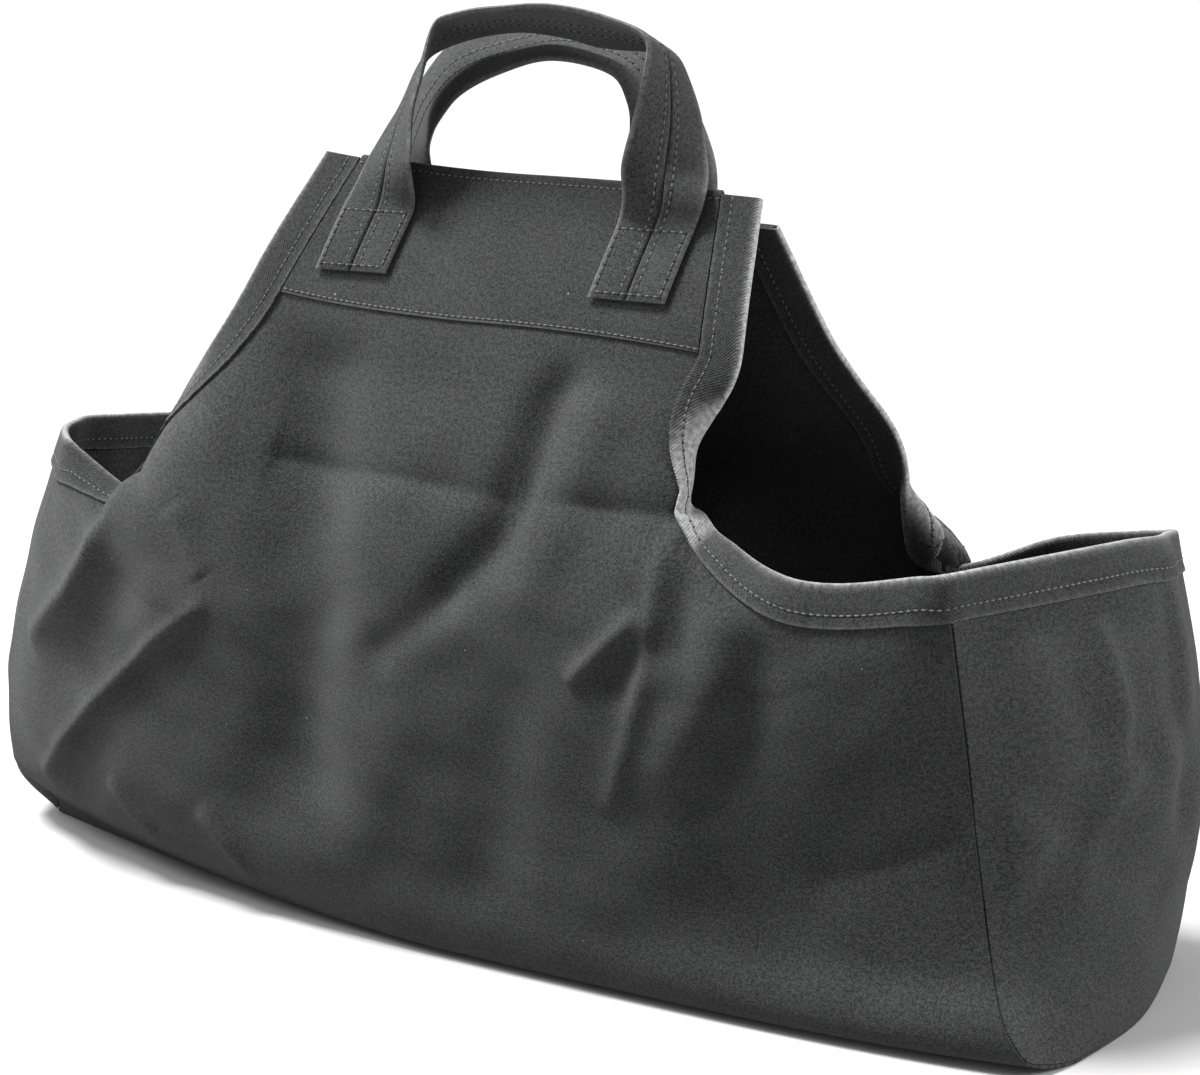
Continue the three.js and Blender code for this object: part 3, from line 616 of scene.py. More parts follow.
class Graph:
    """A material's nodes."""

    def __init__(self, name: str) -> None:
        """Start an empty material with a shader and an output."""
        self.material = bpy.data.materials.new(name)
        self.material.use_nodes = True
        self.tree = self.material.node_tree
        self.shader = self.tree.nodes["Principled BSDF"]

    def node(self, kind: str, settings: dict, inputs: dict, output: int | str = 0) -> Value:
        """Add a node.

        Args:
            kind: the node's type.
            settings: its properties, which are set first.
            inputs: values or links of its sockets, by name or number.
            output: which of its outputs to hand back.

        Returns:
            The chosen output.
        """
        made = self.tree.nodes.new(kind)
        for key, setting in settings.items():
            setattr(made, key, setting)
        for key, given in inputs.items():
            self.feed(made.inputs[key], given)
        return Value(self, made.outputs[output])

    def feed(self, socket: bpy.types.NodeSocket, given: Input) -> None:
        """Link a value to a socket, or set a number on it."""
        if isinstance(given, Value):
            self.tree.links.new(given.socket, socket)
        else:
            socket.default_value = given

    def shade(self, inputs: dict) -> bpy.types.Material:
        """Set or link the shader's own sockets and hand back the material."""
        for key, given in inputs.items():
            self.feed(self.shader.inputs[key], given)
        return self.material

    def cloth_place(self) -> tuple[Value, Value, Value]:
        """The cloth's own coordinates as a vector, and its parts across and along, in metres."""
        place = self.node("ShaderNodeUVMap", {"uv_map": "cloth"}, {})
        across = self.node("ShaderNodeSeparateXYZ", {}, {0: place}, "X")
        along = self.node("ShaderNodeSeparateXYZ", {}, {0: place}, "Y")
        return place, across, along

    def noise(self, place: Value, scale: float, detail: float = 2.0, roughness: float = 0.5) -> Value:
        """A noise texture's value at some places."""
        inputs = {"Vector": place, "Scale": scale, "Detail": detail, "Roughness": roughness}
        return self.node("ShaderNodeTexNoise", {}, inputs, "Fac")

    def blend(self, share: "Value | float", first: Input, second: Input) -> Value:
        """A colour between two others."""
        inputs = {"Factor": share, 6: first, 7: second}
        return self.node("ShaderNodeMix", {"data_type": "RGBA"}, inputs, 2)

    def bump(self, height: Value, distance: float, strength: float) -> Value:
        """Normals from a height."""
        inputs = {"Height": height, "Distance": distance, "Strength": strength}
        return self.node("ShaderNodeBump", {}, inputs)


def grey(level: float, warmth: float = 0.0) -> tuple[float, float, float, float]:
    """A grey with a slight lean to warm or, below zero, to blue."""
    return (level * (1 + warmth), level, level * (1 - warmth), 1.0)


@dataclass(frozen=True)
class ClothFinish:
    """A black woven cloth: thread pitch, tones, lighter scuffed edges that on the tape also paint a
    highlight, and lint.
    """

    # Scales of the threads' wander, of fuzz, slubs, clouds and lint, each per metre
    WANDER = 700.0
    FUZZ = 950.0
    SLUB = 420.0
    CLOUD = 22.0
    LINT = 62.0
    LINT_TONE = 0.36
    WEAVE_DEPTH = 0.0006

    name: str
    pitch: float
    dark: float
    light: float
    # The scuffed tone, which on the tape is also light enough to paint a highlight
    scuffed_and_highlight_tone: float
    twill: bool = False
    grain: float = 0.82
    relief: float = 0.5
    sheen: float = 0.05

    def build(self) -> bpy.types.Material:
        """Make the material.

        Returns:
            The finished material, which reads the cloth's UV map and the wear_and_highlight attribute:
            scuffing, and on the tape a painted highlight too.
        """
        graph = Graph(self.name)
        place, across, along = graph.cloth_place()
        wander = graph.noise(place, self.WANDER, 1.0) * 3.0
        turn = math.tau / self.pitch
        if self.twill:
            weave = ((across + along) * turn + wander).sine() * 0.5 + 0.5
        else:
            warp = (across * turn + wander).sine()
            weft = (along * turn + wander).sine()
            weave = warp * weft * 0.5 + 0.5
        fuzz = graph.noise(place, self.FUZZ, 2.0, 0.7)
        slub = graph.noise(place, self.SLUB, 2.0, 0.6)
        cloud = graph.noise(place, self.CLOUD, 4.0, 0.65)
        height = weave * 0.55 + fuzz * 0.45
        # The wear_and_highlight attribute lightens the colour towards the scuffed tone; on the tape that
        # also paints a highlight on the fold and on edges facing the end
        wear_and_highlight_level = graph.node("ShaderNodeAttribute", {"attribute_name": "wear_and_highlight"}, {}, "Fac")
        wear_and_highlight_share = wear_and_highlight_level * (slub.ramp(0.25, 0.75) * 0.6 + 0.4)
        tone = (fuzz.ramp(0.4, 0.62) * 0.55 + weave * 0.2 + slub.ramp(0.38, 0.62) * 0.25) * self.grain
        tone = tone + cloud.ramp(0.25, 0.75) * (1 - self.grain)
        colour = graph.blend(tone, grey(self.dark), grey(self.light, -0.012))
        colour = graph.blend(wear_and_highlight_share, colour, grey(self.scuffed_and_highlight_tone))
        cells = {"Vector": place, "Scale": self.LINT}
        lint = graph.node("ShaderNodeTexVoronoi", {}, cells, "Distance")
        cell = graph.node("ShaderNodeTexVoronoi", {}, cells, "Color")
        rare = graph.node("ShaderNodeSeparateColor", {}, {0: cell})
        speck = (1 - lint.ramp(0.018, 0.034)) * rare.ramp(0.72, 0.76) * 0.55
        colour = graph.blend(speck, colour, grey(self.LINT_TONE))
        return graph.shade(
            {
                "Base Color": colour,
                "Roughness": 0.97 - wear_and_highlight_level * 0.1,
                "Specular IOR Level": 0.1,
                "Sheen Weight": self.sheen,
                "Sheen Roughness": 0.6,
                "Normal": graph.bump(height, self.WEAVE_DEPTH, self.relief),
            }
        )


@dataclass(frozen=True)
class ThreadFinish:
    """Grey-black sewing thread, and in near-black the painted shade in needle holes."""

    name: str
    tone: float

    def build(self) -> bpy.types.Material:
        """Make the material with a fine twist."""
        graph = Graph(self.name)
        place = graph.node("ShaderNodeTexCoord", {}, {}, "Object")
        twist = graph.noise(place, 2600.0, 1.0)
        colour = graph.blend(twist.ramp(0.3, 0.7), grey(self.tone * 0.6), grey(self.tone * 1.5))
        return graph.shade({"Base Color": colour, "Roughness": 0.7, "Specular IOR Level": 0.25})


@dataclass(frozen=True)
class FloorFinish:
    """Plain pale studio floor."""

    name: str = "pale_floor"
    tone: float = 0.27

    def build(self) -> bpy.types.Material:
        """Make the material with a barely mottled tone."""
        graph = Graph(self.name)
        place = graph.node("ShaderNodeTexCoord", {}, {}, "Object")
        mottle = graph.noise(place, 1.5, 2.0)
        colour = graph.blend(mottle, grey(self.tone), grey(self.tone + 0.02))
        return graph.shade({"Base Color": colour, "Roughness": 0.9, "Specular IOR Level": 0.1})


@dataclass
class Cloth:
    """A shaped grid of cloth before it becomes a mesh.

    places has a row for each step along and a column for each step across, in mm, and normals
    point to the cloth's outer side. cut is the cloth's own flat coordinates in mm, and
    wear_and_highlight says how scuffed each place is and, on the tape, how much painted highlight it
    carries.
    """

    SMOOTH_BELOW = 50

    places: Array
    normals: Array
    cut: Array
    wear_and_highlight: Array

    def make(self, name: str, thickness: float, material: bpy.types.Material) -> bpy.types.Object:
        """Shape a grid primitive to the cloth and give it its thickness.

        Args:
            name: the piece's name.
            thickness: of the cloth, in mm.
            material: its finish.

        Returns:
            The finished piece.
        """
        rows, columns = self.places.shape[:2]
        turned = np.sum(self._cells() * self.normals[:-1, :-1]) < 0
        order = slice(None, None, -1) if turned else slice(None)
        bpy.ops.object.select_all(action="DESELECT")
        bpy.ops.mesh.primitive_grid_add(
            x_subdivisions=columns - 1, y_subdivisions=rows - 1, size=2.0, calc_uvs=False
        )
        piece = bpy.context.active_object
        piece.name = name
        mesh = piece.data
        mesh.name = name
        flat = np.empty(len(mesh.vertices) * 3)
        mesh.vertices.foreach_get("co", flat)
        flat = flat.reshape(-1, 3).round(6)
        rank = np.argsort(np.lexsort((flat[:, 0], flat[:, 1])))
        shaped = (self.places[order].reshape(-1, 3)[rank] + MIDDLE) * MM
        mesh.vertices.foreach_set("co", shaped.ravel())
        cut = self.cut[order].reshape(-1, 2)[rank] * MM
        corner = np.empty(len(mesh.loops), int)
        mesh.loops.foreach_get("vertex_index", corner)
        mesh.uv_layers.new(name="cloth").data.foreach_set("uv", cut[corner].ravel())
        wear_and_highlight = self.wear_and_highlight[order].ravel()[rank]
        mesh.attributes.new("wear_and_highlight", "FLOAT", "POINT").data.foreach_set("value", wear_and_highlight)
        mesh.update()
        solidify = piece.modifiers.new("thickness", "SOLIDIFY")
        solidify.thickness = thickness * MM
        solidify.offset = 0.0
        bpy.ops.object.modifier_apply(modifier=solidify.name)
        bpy.ops.object.shade_smooth_by_angle(angle=math.radians(self.SMOOTH_BELOW))
        mesh.materials.append(material)
        return piece

    def _cells(self) -> Array:
        """Normals of the grid's cells, as long as the cells' areas are large."""
        across = self.places[:-1, 1:] - self.places[:-1, :-1]
        along = self.places[1:, :-1] - self.places[:-1, :-1]
        return np.cross(across, along)

    def area(self) -> float:
        """Area of the cloth in square metres."""
        return float(np.linalg.norm(self._cells(), axis=-1).sum()) * MM * MM


@dataclass(frozen=True)
class SeamLine:
    """A line of places on a cloth, with the normals that stitches stand on."""

    places: Array
    normals: Array


@dataclass(frozen=True)
class Stitching:
    """Rows of thread: one stitch and a flat near-black bead beside it, which paints the shade in needle
    holes, are modelled and copied along the lines.
    """

    length: float = 2.6
    width: float = 0.9
    height: float = 0.75
    pitch: float = 3.5
    # Size and height of the flat near-black bead that paints the shade in needle holes
    hole_shade: float = 1.3
    hole_shade_height: float = 0.5

    @staticmethod
    def _bead(size: tuple[float, float, float]) -> tuple[Array, list[tuple[int, ...]]]:
        """Model a flattened bead along X.

        Args:
            size: its length, width and height in mm.

        Returns:
            Its points in mm and its faces.
        """
        bpy.ops.object.select_all(action="DESELECT")
        bpy.ops.mesh.primitive_uv_sphere_add(segments=6, ring_count=4, radius=0.5)
        piece = bpy.context.active_object
        bpy.ops.object.mode_set(mode="EDIT")
        bpy.ops.mesh.select_all(action="SELECT")
        bpy.ops.transform.rotate(value=math.pi / 2, orient_axis="Y", center_override=(0, 0, 0))
        bpy.ops.transform.resize(value=size)
        bpy.ops.object.mode_set(mode="OBJECT")
        points = np.array([vertex.co[:] for vertex in piece.data.vertices])
        faces = [tuple(face.vertices) for face in piece.data.polygons]
        bpy.data.objects.remove(piece)
        return points, faces

    def make(self, name: str, lines: Sequence[SeamLine], finishes: "Finishes") -> bpy.types.Object:
        """Copy the stitch along some lines.

        Args:
            name: the piece's name.
            lines: where the rows run, in mm.
            finishes: the bag's materials.

        Returns:
            One piece with all the stitches.
        """
        thread, faces = self._bead((self.length, self.width, self.height))
        # A flat near-black bead half a pitch on paints the shade in the needle holes
        hole_shade, hole_shade_faces = self._bead((self.hole_shade, self.hole_shade, self.hole_shade_height))
        template = np.concatenate([thread, hole_shade + [self.pitch / 2, 0.0, 0.0]])
        kinds = [0] * len(faces) + [1] * len(hole_shade_faces)
        faces = faces + [tuple(corner + len(thread) for corner in face) for face in hole_shade_faces]
        points: list[Array] = []
        for line in lines:
            run = run_lengths(line.places)
            count = max(int(run[-1] / self.pitch), 1)
            at = (np.arange(count) + 0.5) * run[-1] / count
            centre = sampled(line.places, run, at)
            way = unit(sampled(line.places, run, at + 1) - sampled(line.places, run, at - 1))
            side = unit(np.cross(sampled(line.normals, run, at), way))
            axes = np.stack([way, side, np.cross(way, side)], 1)
            copied = np.einsum("vk,nkj->nvj", template, axes) + centre[:, None]
            points.append(copied.reshape(-1, 3))
        places = (np.concatenate(points) + MIDDLE) * MM
        copies = len(places) // len(template)
        all_faces = [
            tuple(corner + first for corner in face)
            for first in range(0, len(places), len(template))
            for face in faces
        ]
        mesh = bpy.data.meshes.new(name)
        mesh.from_pydata(places.tolist(), [], all_faces)
        mesh.materials.append(finishes.thread)
        mesh.materials.append(finishes.hole_shade)
        mesh.polygons.foreach_set("use_smooth", [True] * len(all_faces))
        mesh.polygons.foreach_set("material_index", kinds * copies)
        piece = bpy.data.objects.new(name, mesh)
        bpy.context.scene.collection.objects.link(piece)
        return piece


@dataclass(frozen=True)
class Finishes:
    """The bag's materials."""

    canvas: bpy.types.Material
    tape: bpy.types.Material
    strap: bpy.types.Material
    thread: bpy.types.Material
    hole_shade: bpy.types.Material

    @classmethod
    def build(cls) -> "Finishes":
        """Make all of the bag's materials."""
        finishes = (
            ClothFinish("black_canvas", pitch=0.0011, dark=0.0005, light=0.038, scuffed_and_highlight_tone=0.06),
            # The tape's light scuffed tone paints a highlight on its fold and on edges facing the end,
            # besides scuffing
            ClothFinish("black_twill_tape", pitch=0.0016, dark=0.002, light=0.034, scuffed_and_highlight_tone=0.33, twill=True),
            ClothFinish("black_strap_canvas", pitch=0.0012, dark=0.001, light=0.044, scuffed_and_highlight_tone=0.1),
            ThreadFinish("black_thread", tone=0.062),
            # Near-black finish for the painted shade in needle holes
            ThreadFinish("needle_hole_shade", tone=0.002),
        )
        return cls(*(finish.build() for finish in finishes))


def settle(piece: bpy.types.Object, slot: str, *nodes: str) -> None:
    """Put a piece on the bag's body, in place of its solids.

    Args:
        piece: the finished piece.
        slot: a material slot name; not used.
        nodes: the CAD nodes that the piece stands for.
    """
    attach(piece, "root")
    if nodes:
        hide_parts(*nodes)
    LOG.info("%s: %d faces", piece.name, len(piece.data.polygons))


@dataclass
class CanvasBody:
    """The sheet that is the front panel, the base and the back panel."""

    sheet: BagSheet
    columns: int = 200
    front_rows: int = 170
    base_rows: int = 12
    back_rows: int = 60
    front_share: float = 0.66
    back_share: float = 0.64
    flat_width: float = 0.64
    flat_length: float = 1.12

    def rows(self) -> Array:
        """Places of the grid's rows along the cloth, close together where the cloth is seen."""
        sheet = self.sheet
        foot, heel = sheet.at("base front"), sheet.at("base back")
        knots = (0.0, sheet.front_corner, foot, heel, sheet.back_corner, sheet.length)
        steps = (
            self.front_share * self.front_rows,
            (1 - self.front_share) * self.front_rows,
            self.base_rows,
            (1 - self.back_share) * self.back_rows,
            self.back_share * self.back_rows,
        )
        spans = zip(knots, knots[1:], steps)
        parts = [np.linspace(a, b, int(count), endpoint=False) for a, b, count in spans]
        return np.concatenate([*parts, [sheet.length]])

    def cloth(self) -> Cloth:
        """Lay the grid on the folded sheet."""
        across = np.linspace(-1, 1, self.columns + 1)
        u, v = np.meshgrid(across, self.rows())
        places = self.sheet.place(u, v)
        plain = self.sheet.plain(u, v)
        normals = self.sheet.outward(self.sheet.place, u, v)
        height = np.sum((places - plain) * normals, -1)
        cut = np.stack([places[..., 0], v], -1)
        return Cloth(places, normals, cut, RIDGE_WEAR * smooth_step(*RIDGE_HEIGHTS, height))

    def build(self, finishes: Finishes) -> bpy.types.Object:
        """Make the sheet and dress it."""
        cloth = self.cloth()
        piece = cloth.make("canvas_body", CANVAS, finishes.canvas)
        settle(piece, "canvas", "body_sheet")
        cloth.area()
        return piece


@dataclass
class EndWall:
    """A gusset that closes one end up to its bulging rim."""

    SEAM_PLACES = 160
    STEP = 0.004
    # Shares of the wall by which its cloth is drawn back from the side seams and from the base
    SEAM_GAP = 0.0044
    BASE_GAP = 0.008

    sheet: BagSheet
    end: End
    rim_bulge: float
    rim_share: float
    rim_lift: float
    wall_bulge: float
    folds: tuple[Fold, ...]
    steps: int = 64
    flat_width: float = 0.22
    flat_length: float = 0.23

    def __post_init__(self) -> None:
        """Measure the seams that the wall is sewn to."""
        sheet = self.sheet
        foot, heel = sheet.at("front edge"), sheet.at("back edge")
        self.front = self._line(sheet.front_corner, foot)
        self.base = self._line(foot, heel)
        self.back = self._line(sheet.back_corner, heel)

    def _line(self, start: float, stop: float) -> tuple[Array, Array]:
        """Places along one seam and how far along it they are, as a share."""
        v = np.linspace(start, stop, self.SEAM_PLACES)
        places = self.sheet.place(np.full(v.shape, float(self.end.sign)), v)
        run = run_lengths(places)
        return places, run / run[-1]

    def place(self, down: Array, over: Array) -> Array:
        """Places on the wall.

        Args:
            down: shares of the way from the rim to the base.
            over: shares of the way from the front seam to the back seam.

        Returns:
            Points in mm.
        """
        down, over = np.broadcast_arrays(np.asarray(down, float), np.asarray(over, float))
        s, t = down[..., None], over[..., None]
        front, back = sampled(*self.front, down), sampled(*self.back, down)
        base = sampled(*self.base, over)
        corners = [line[0][i] for line in (self.front, self.back) for i in (0, -1)]
        peak = math.log(0.5) / math.log(self.rim_share)
        swell = np.array([self.end.sign * self.rim_bulge, 0.0, self.rim_lift])
        chord = corners[0] + (corners[2] - corners[0]) * t
        rim = chord + swell * np.sin(np.pi * t**peak)
        foot = corners[1] + (corners[3] - corners[1]) * t
        seams = front + (back - front) * t
        place = seams + rim + (base - rim) * s - (chord + (foot - chord) * s)
        hump = np.sin(np.pi * over) * np.sin(np.pi * down)
        crease = sum(fold.lift(place[..., 1], place[..., 2]) for fold in self.folds)
        crease = crease * np.sqrt(np.clip(np.sin(np.pi * over), 0, 1)) * np.sqrt(1 - down)
        out = self.end.sign * (self.wall_bulge * hump + crease)
        return place + np.stack([out, 0 * out, 0 * out], -1)

    def outward(self, down: Array, over: Array) -> Array:
        """Unit normals that point out of the bag."""
        down, over = np.broadcast_arrays(np.asarray(down, float), np.asarray(over, float))
        s0, s1 = np.maximum(down - self.STEP, 0), np.minimum(down + self.STEP, 1)
        t0, t1 = np.maximum(over - self.STEP, 0), np.minimum(over + self.STEP, 1)
        drop = self.place(s1, over) - self.place(s0, over)
        reach = self.place(down, t1) - self.place(down, t0)
        return unit(self.end.sign * np.cross(drop, reach))

    def cloth(self) -> Cloth:
        """Lay a grid on the wall, drawn back a little from its seams."""
        over = np.linspace(self.SEAM_GAP, 1 - self.SEAM_GAP, self.steps)
        over, down = np.meshgrid(over, np.linspace(0, 1 - self.BASE_GAP, self.steps))
        places = self.place(down, over)
        crease = sum(fold.lift(places[..., 1], places[..., 2]) for fold in self.folds)
        wear_and_highlight = RIDGE_WEAR * smooth_step(*RIDGE_HEIGHTS, crease)
        return Cloth(places, self.outward(down, over), places[..., 1:], wear_and_highlight)

    def build(self, finishes: Finishes) -> bpy.types.Object:
        """Make the wall and dress it."""
        cloth = self.cloth()
        piece = cloth.make(f"end_wall_{self.end.value}", CANVAS, finishes.canvas)
        settle(piece, "canvas", f"end_gusset_{self.end.value}")
        cloth.area()
        return piece


@dataclass
class EdgeBinding:
    """The folded tape round one opening, from the front hem over the rim to the back hem."""

    # How many places are taken along each panel's edge, along the rim, down the wall and in all
    EDGE_PLACES = 170
    RIM_PLACES = 72
    WALL_PLACES = 80
    PLACES = 380
    # Over how many places the tape's line and its normals are softened
    SOFT_LINE = 1.6
    SOFT_NORMALS = 2.2
    # Height and width of the dent under the stitches
    DENT = (0.32, 1.6)
    # Height, wave and phase of the puckers, and how far in they start and are full
    PUCKERS = ((0.16, 10.2, 0.0), (0.12, 6.8, 1.0))
    PUCKERED = (4, 19)
    # The turn over the edge: its rows' angles, how far beyond the edge it lies, its rows' cloth
    TURNS = (24, 57, 90, 123, 156)
    CLEAR = 0.5
    FOLD = 5.2
    FOLD_ROWS = (0.6, 4.6)
    FLAT_FOLD = 6
    # Wear of the fold, with a painted highlight on it, and of the selvedges, and a painted highlight on the
    # edges that roll outward near the handles and face the end
    FOLD_WEAR_AND_HIGHLIGHT = 0.62
    SELVEDGE_WEAR = 0.1
    ROLL_PAINTED_HIGHLIGHT = 0.65
    ROLL_REACH = (200, 150)
    ROLL_TURN = (0.3, 0.8)
    MOST_WEAR_AND_HIGHLIGHT = 0.9

    sheet: BagSheet
    wall: EndWall
    strides: int = 9
    stand_off: float = CANVAS / 2 + GAP + TAPE / 2
    stitch_in: float = 12.5
    corner_ease: float = 18.0

    def _on_sheet(self, v: Array, corner: float) -> tuple[Array, Array]:
        """Places and normals across the tape's width, for places along the sheet's free edge."""
        end, sheet = self.wall.end, self.sheet
        u, w = sheet.inward(end, v, BINDING_WIDTH, self.strides)
        w = v + (w - v) * smooth_step(0, HEM_EASE, np.minimum(v, sheet.length - v))
        share = np.linspace(0, 1, self.strides + 1)[:, None]
        down_seam = corner + np.sign(sheet.base_middle - corner) * share * BINDING_WIDTH
        edge = sheet.plain(np.full(v.shape, float(end.sign)), v)
        run = run_lengths(edge)
        away = run if abs(v[0] - corner) < 1 else run[-1] - run
        free = smooth_step(0, self.corner_ease, away)
        u = end.sign + (u - end.sign) * free
        w = down_seam + (w - down_seam) * free
        return sheet.place(u, w), sheet.outward(sheet.place, u, w)

    def _on_rim(self, over: Array) -> tuple[Array, Array]:
        """Places and normals across the tape's width, for places along the end wall's rim."""
        lines = self.wall.place(np.linspace(0, 1, self.WALL_PLACES)[:, None], over[None, :])
        length = np.linalg.norm(np.diff(lines, axis=0), axis=-1).sum(0)
        down = np.linspace(0, 1, self.strides + 1)[:, None] * BINDING_WIDTH / length
        return self.wall.place(down, over[None, :]), self.wall.outward(down, over[None, :])

    def ribbon(self) -> tuple[Array, Array]:
        """Places and normals of the cloth under the tape, along its whole length.

        Returns:
            Points and normals with a row for each station and a column for each stride in.
        """
        front, back = self.sheet.front_corner, self.sheet.back_corner
        parts = (
            self._on_sheet(np.linspace(0, front, self.EDGE_PLACES), front),
            self._on_rim(np.linspace(0, 1, self.RIM_PLACES)[1:-1]),
            self._on_sheet(np.linspace(back, self.sheet.length, self.EDGE_PLACES), back),
        )
        places, normals = (np.concatenate(rows, axis=1).transpose(1, 0, 2) for rows in zip(*parts))
        run = run_lengths(places[:, 0])
        even = np.linspace(0, run[-1], self.PLACES)
        places, normals = (sampled(rows, run, even) for rows in (places, normals))
        return eased(places, self.SOFT_LINE), unit(eased(unit(normals), self.SOFT_NORMALS))

    def cloth(self) -> tuple[Cloth, list[SeamLine]]:
        """Fold the tape over the edge.

        Returns:
            The tape and the two lines that its stitches follow.
        """
        places, normals = self.ribbon()
        edge = places[:, 0]
        along = run_lengths(edge)
        inset = np.linspace(0, 1, self.strides + 1) * BINDING_WIDTH
        depth, width = self.DENT
        dent = depth * bell(inset, self.stitch_in, width)
        pucker = sum(high * np.sin(along * math.tau / wave + phase) for high, wave, phase in self.PUCKERS)
        lift = self.stand_off - dent + pucker[:, None] * smooth_step(*self.PUCKERED, inset)
        outer = places + normals * lift[..., None]
        inner = places - normals * lift[..., None]
        turn = (edge, normals[:, 0], unit(edge - places[:, 1]))
        fold, fold_out = turned_over(turn, self.stand_off, self.CLEAR, self.TURNS)
        shaped = np.concatenate([outer[:, ::-1], np.stack(fold, 1), inner], axis=1)
        facing = np.concatenate([normals[:, ::-1], np.stack(fold_out, 1), -normals], axis=1)
        across = np.concatenate(
            [-inset[::-1], np.linspace(*self.FOLD_ROWS, len(fold)), self.FOLD + inset]
        )
        cut = np.stack(np.broadcast_arrays(across[None, :], along[:, None]), -1)
        # The fold's scuffing also carries a painted highlight, and edges turned to face the end get a
        # painted highlight
        folded = self.FOLD_WEAR_AND_HIGHLIGHT * bell(across, 2.2, 1.5)
        selvedge = self.SELVEDGE_WEAR * bell(np.abs(across - self.FOLD / 2), BINDING_WIDTH + 2.3, 1.0)
        free = smooth_step(*self.ROLL_REACH, np.abs(edge[:, :1]))
        roll_highlight = free * smooth_step(*self.ROLL_TURN, self.wall.end.sign * facing[..., 0])
        wear_and_highlight = np.clip(folded + selvedge + self.ROLL_PAINTED_HIGHLIGHT * roll_highlight, 0, self.MOST_WEAR_AND_HIGHLIGHT)
        nearest = int(round(self.stitch_in / BINDING_WIDTH * self.strides))
        seams = []
        for facing_sign, rows in ((1, outer), (-1, inner)):
            up = normals[:, nearest] * facing_sign
            seams.append(SeamLine(rows[:, nearest] + up * (TAPE / 2 + STITCH_LIFT), up))
        return Cloth(shaped, facing, cut, wear_and_highlight), seams

    def build(self, finishes: Finishes) -> bpy.types.Object:
        """Make the tape and its stitches and dress them."""
        end = self.wall.end.value
        cloth, seams = self.cloth()
        piece = cloth.make(f"edge_tape_{end}", TAPE, finishes.tape)
        settle(piece, "tape", f"binding_{end}")
        stitches = Stitching().make(f"edge_stitches_{end}", seams, finishes)
        settle(stitches, "tape")
        width = 2 * BINDING_WIDTH + self.FLAT_FOLD
        length = cloth.area() / (width * MM)
        width * MM
        return piece


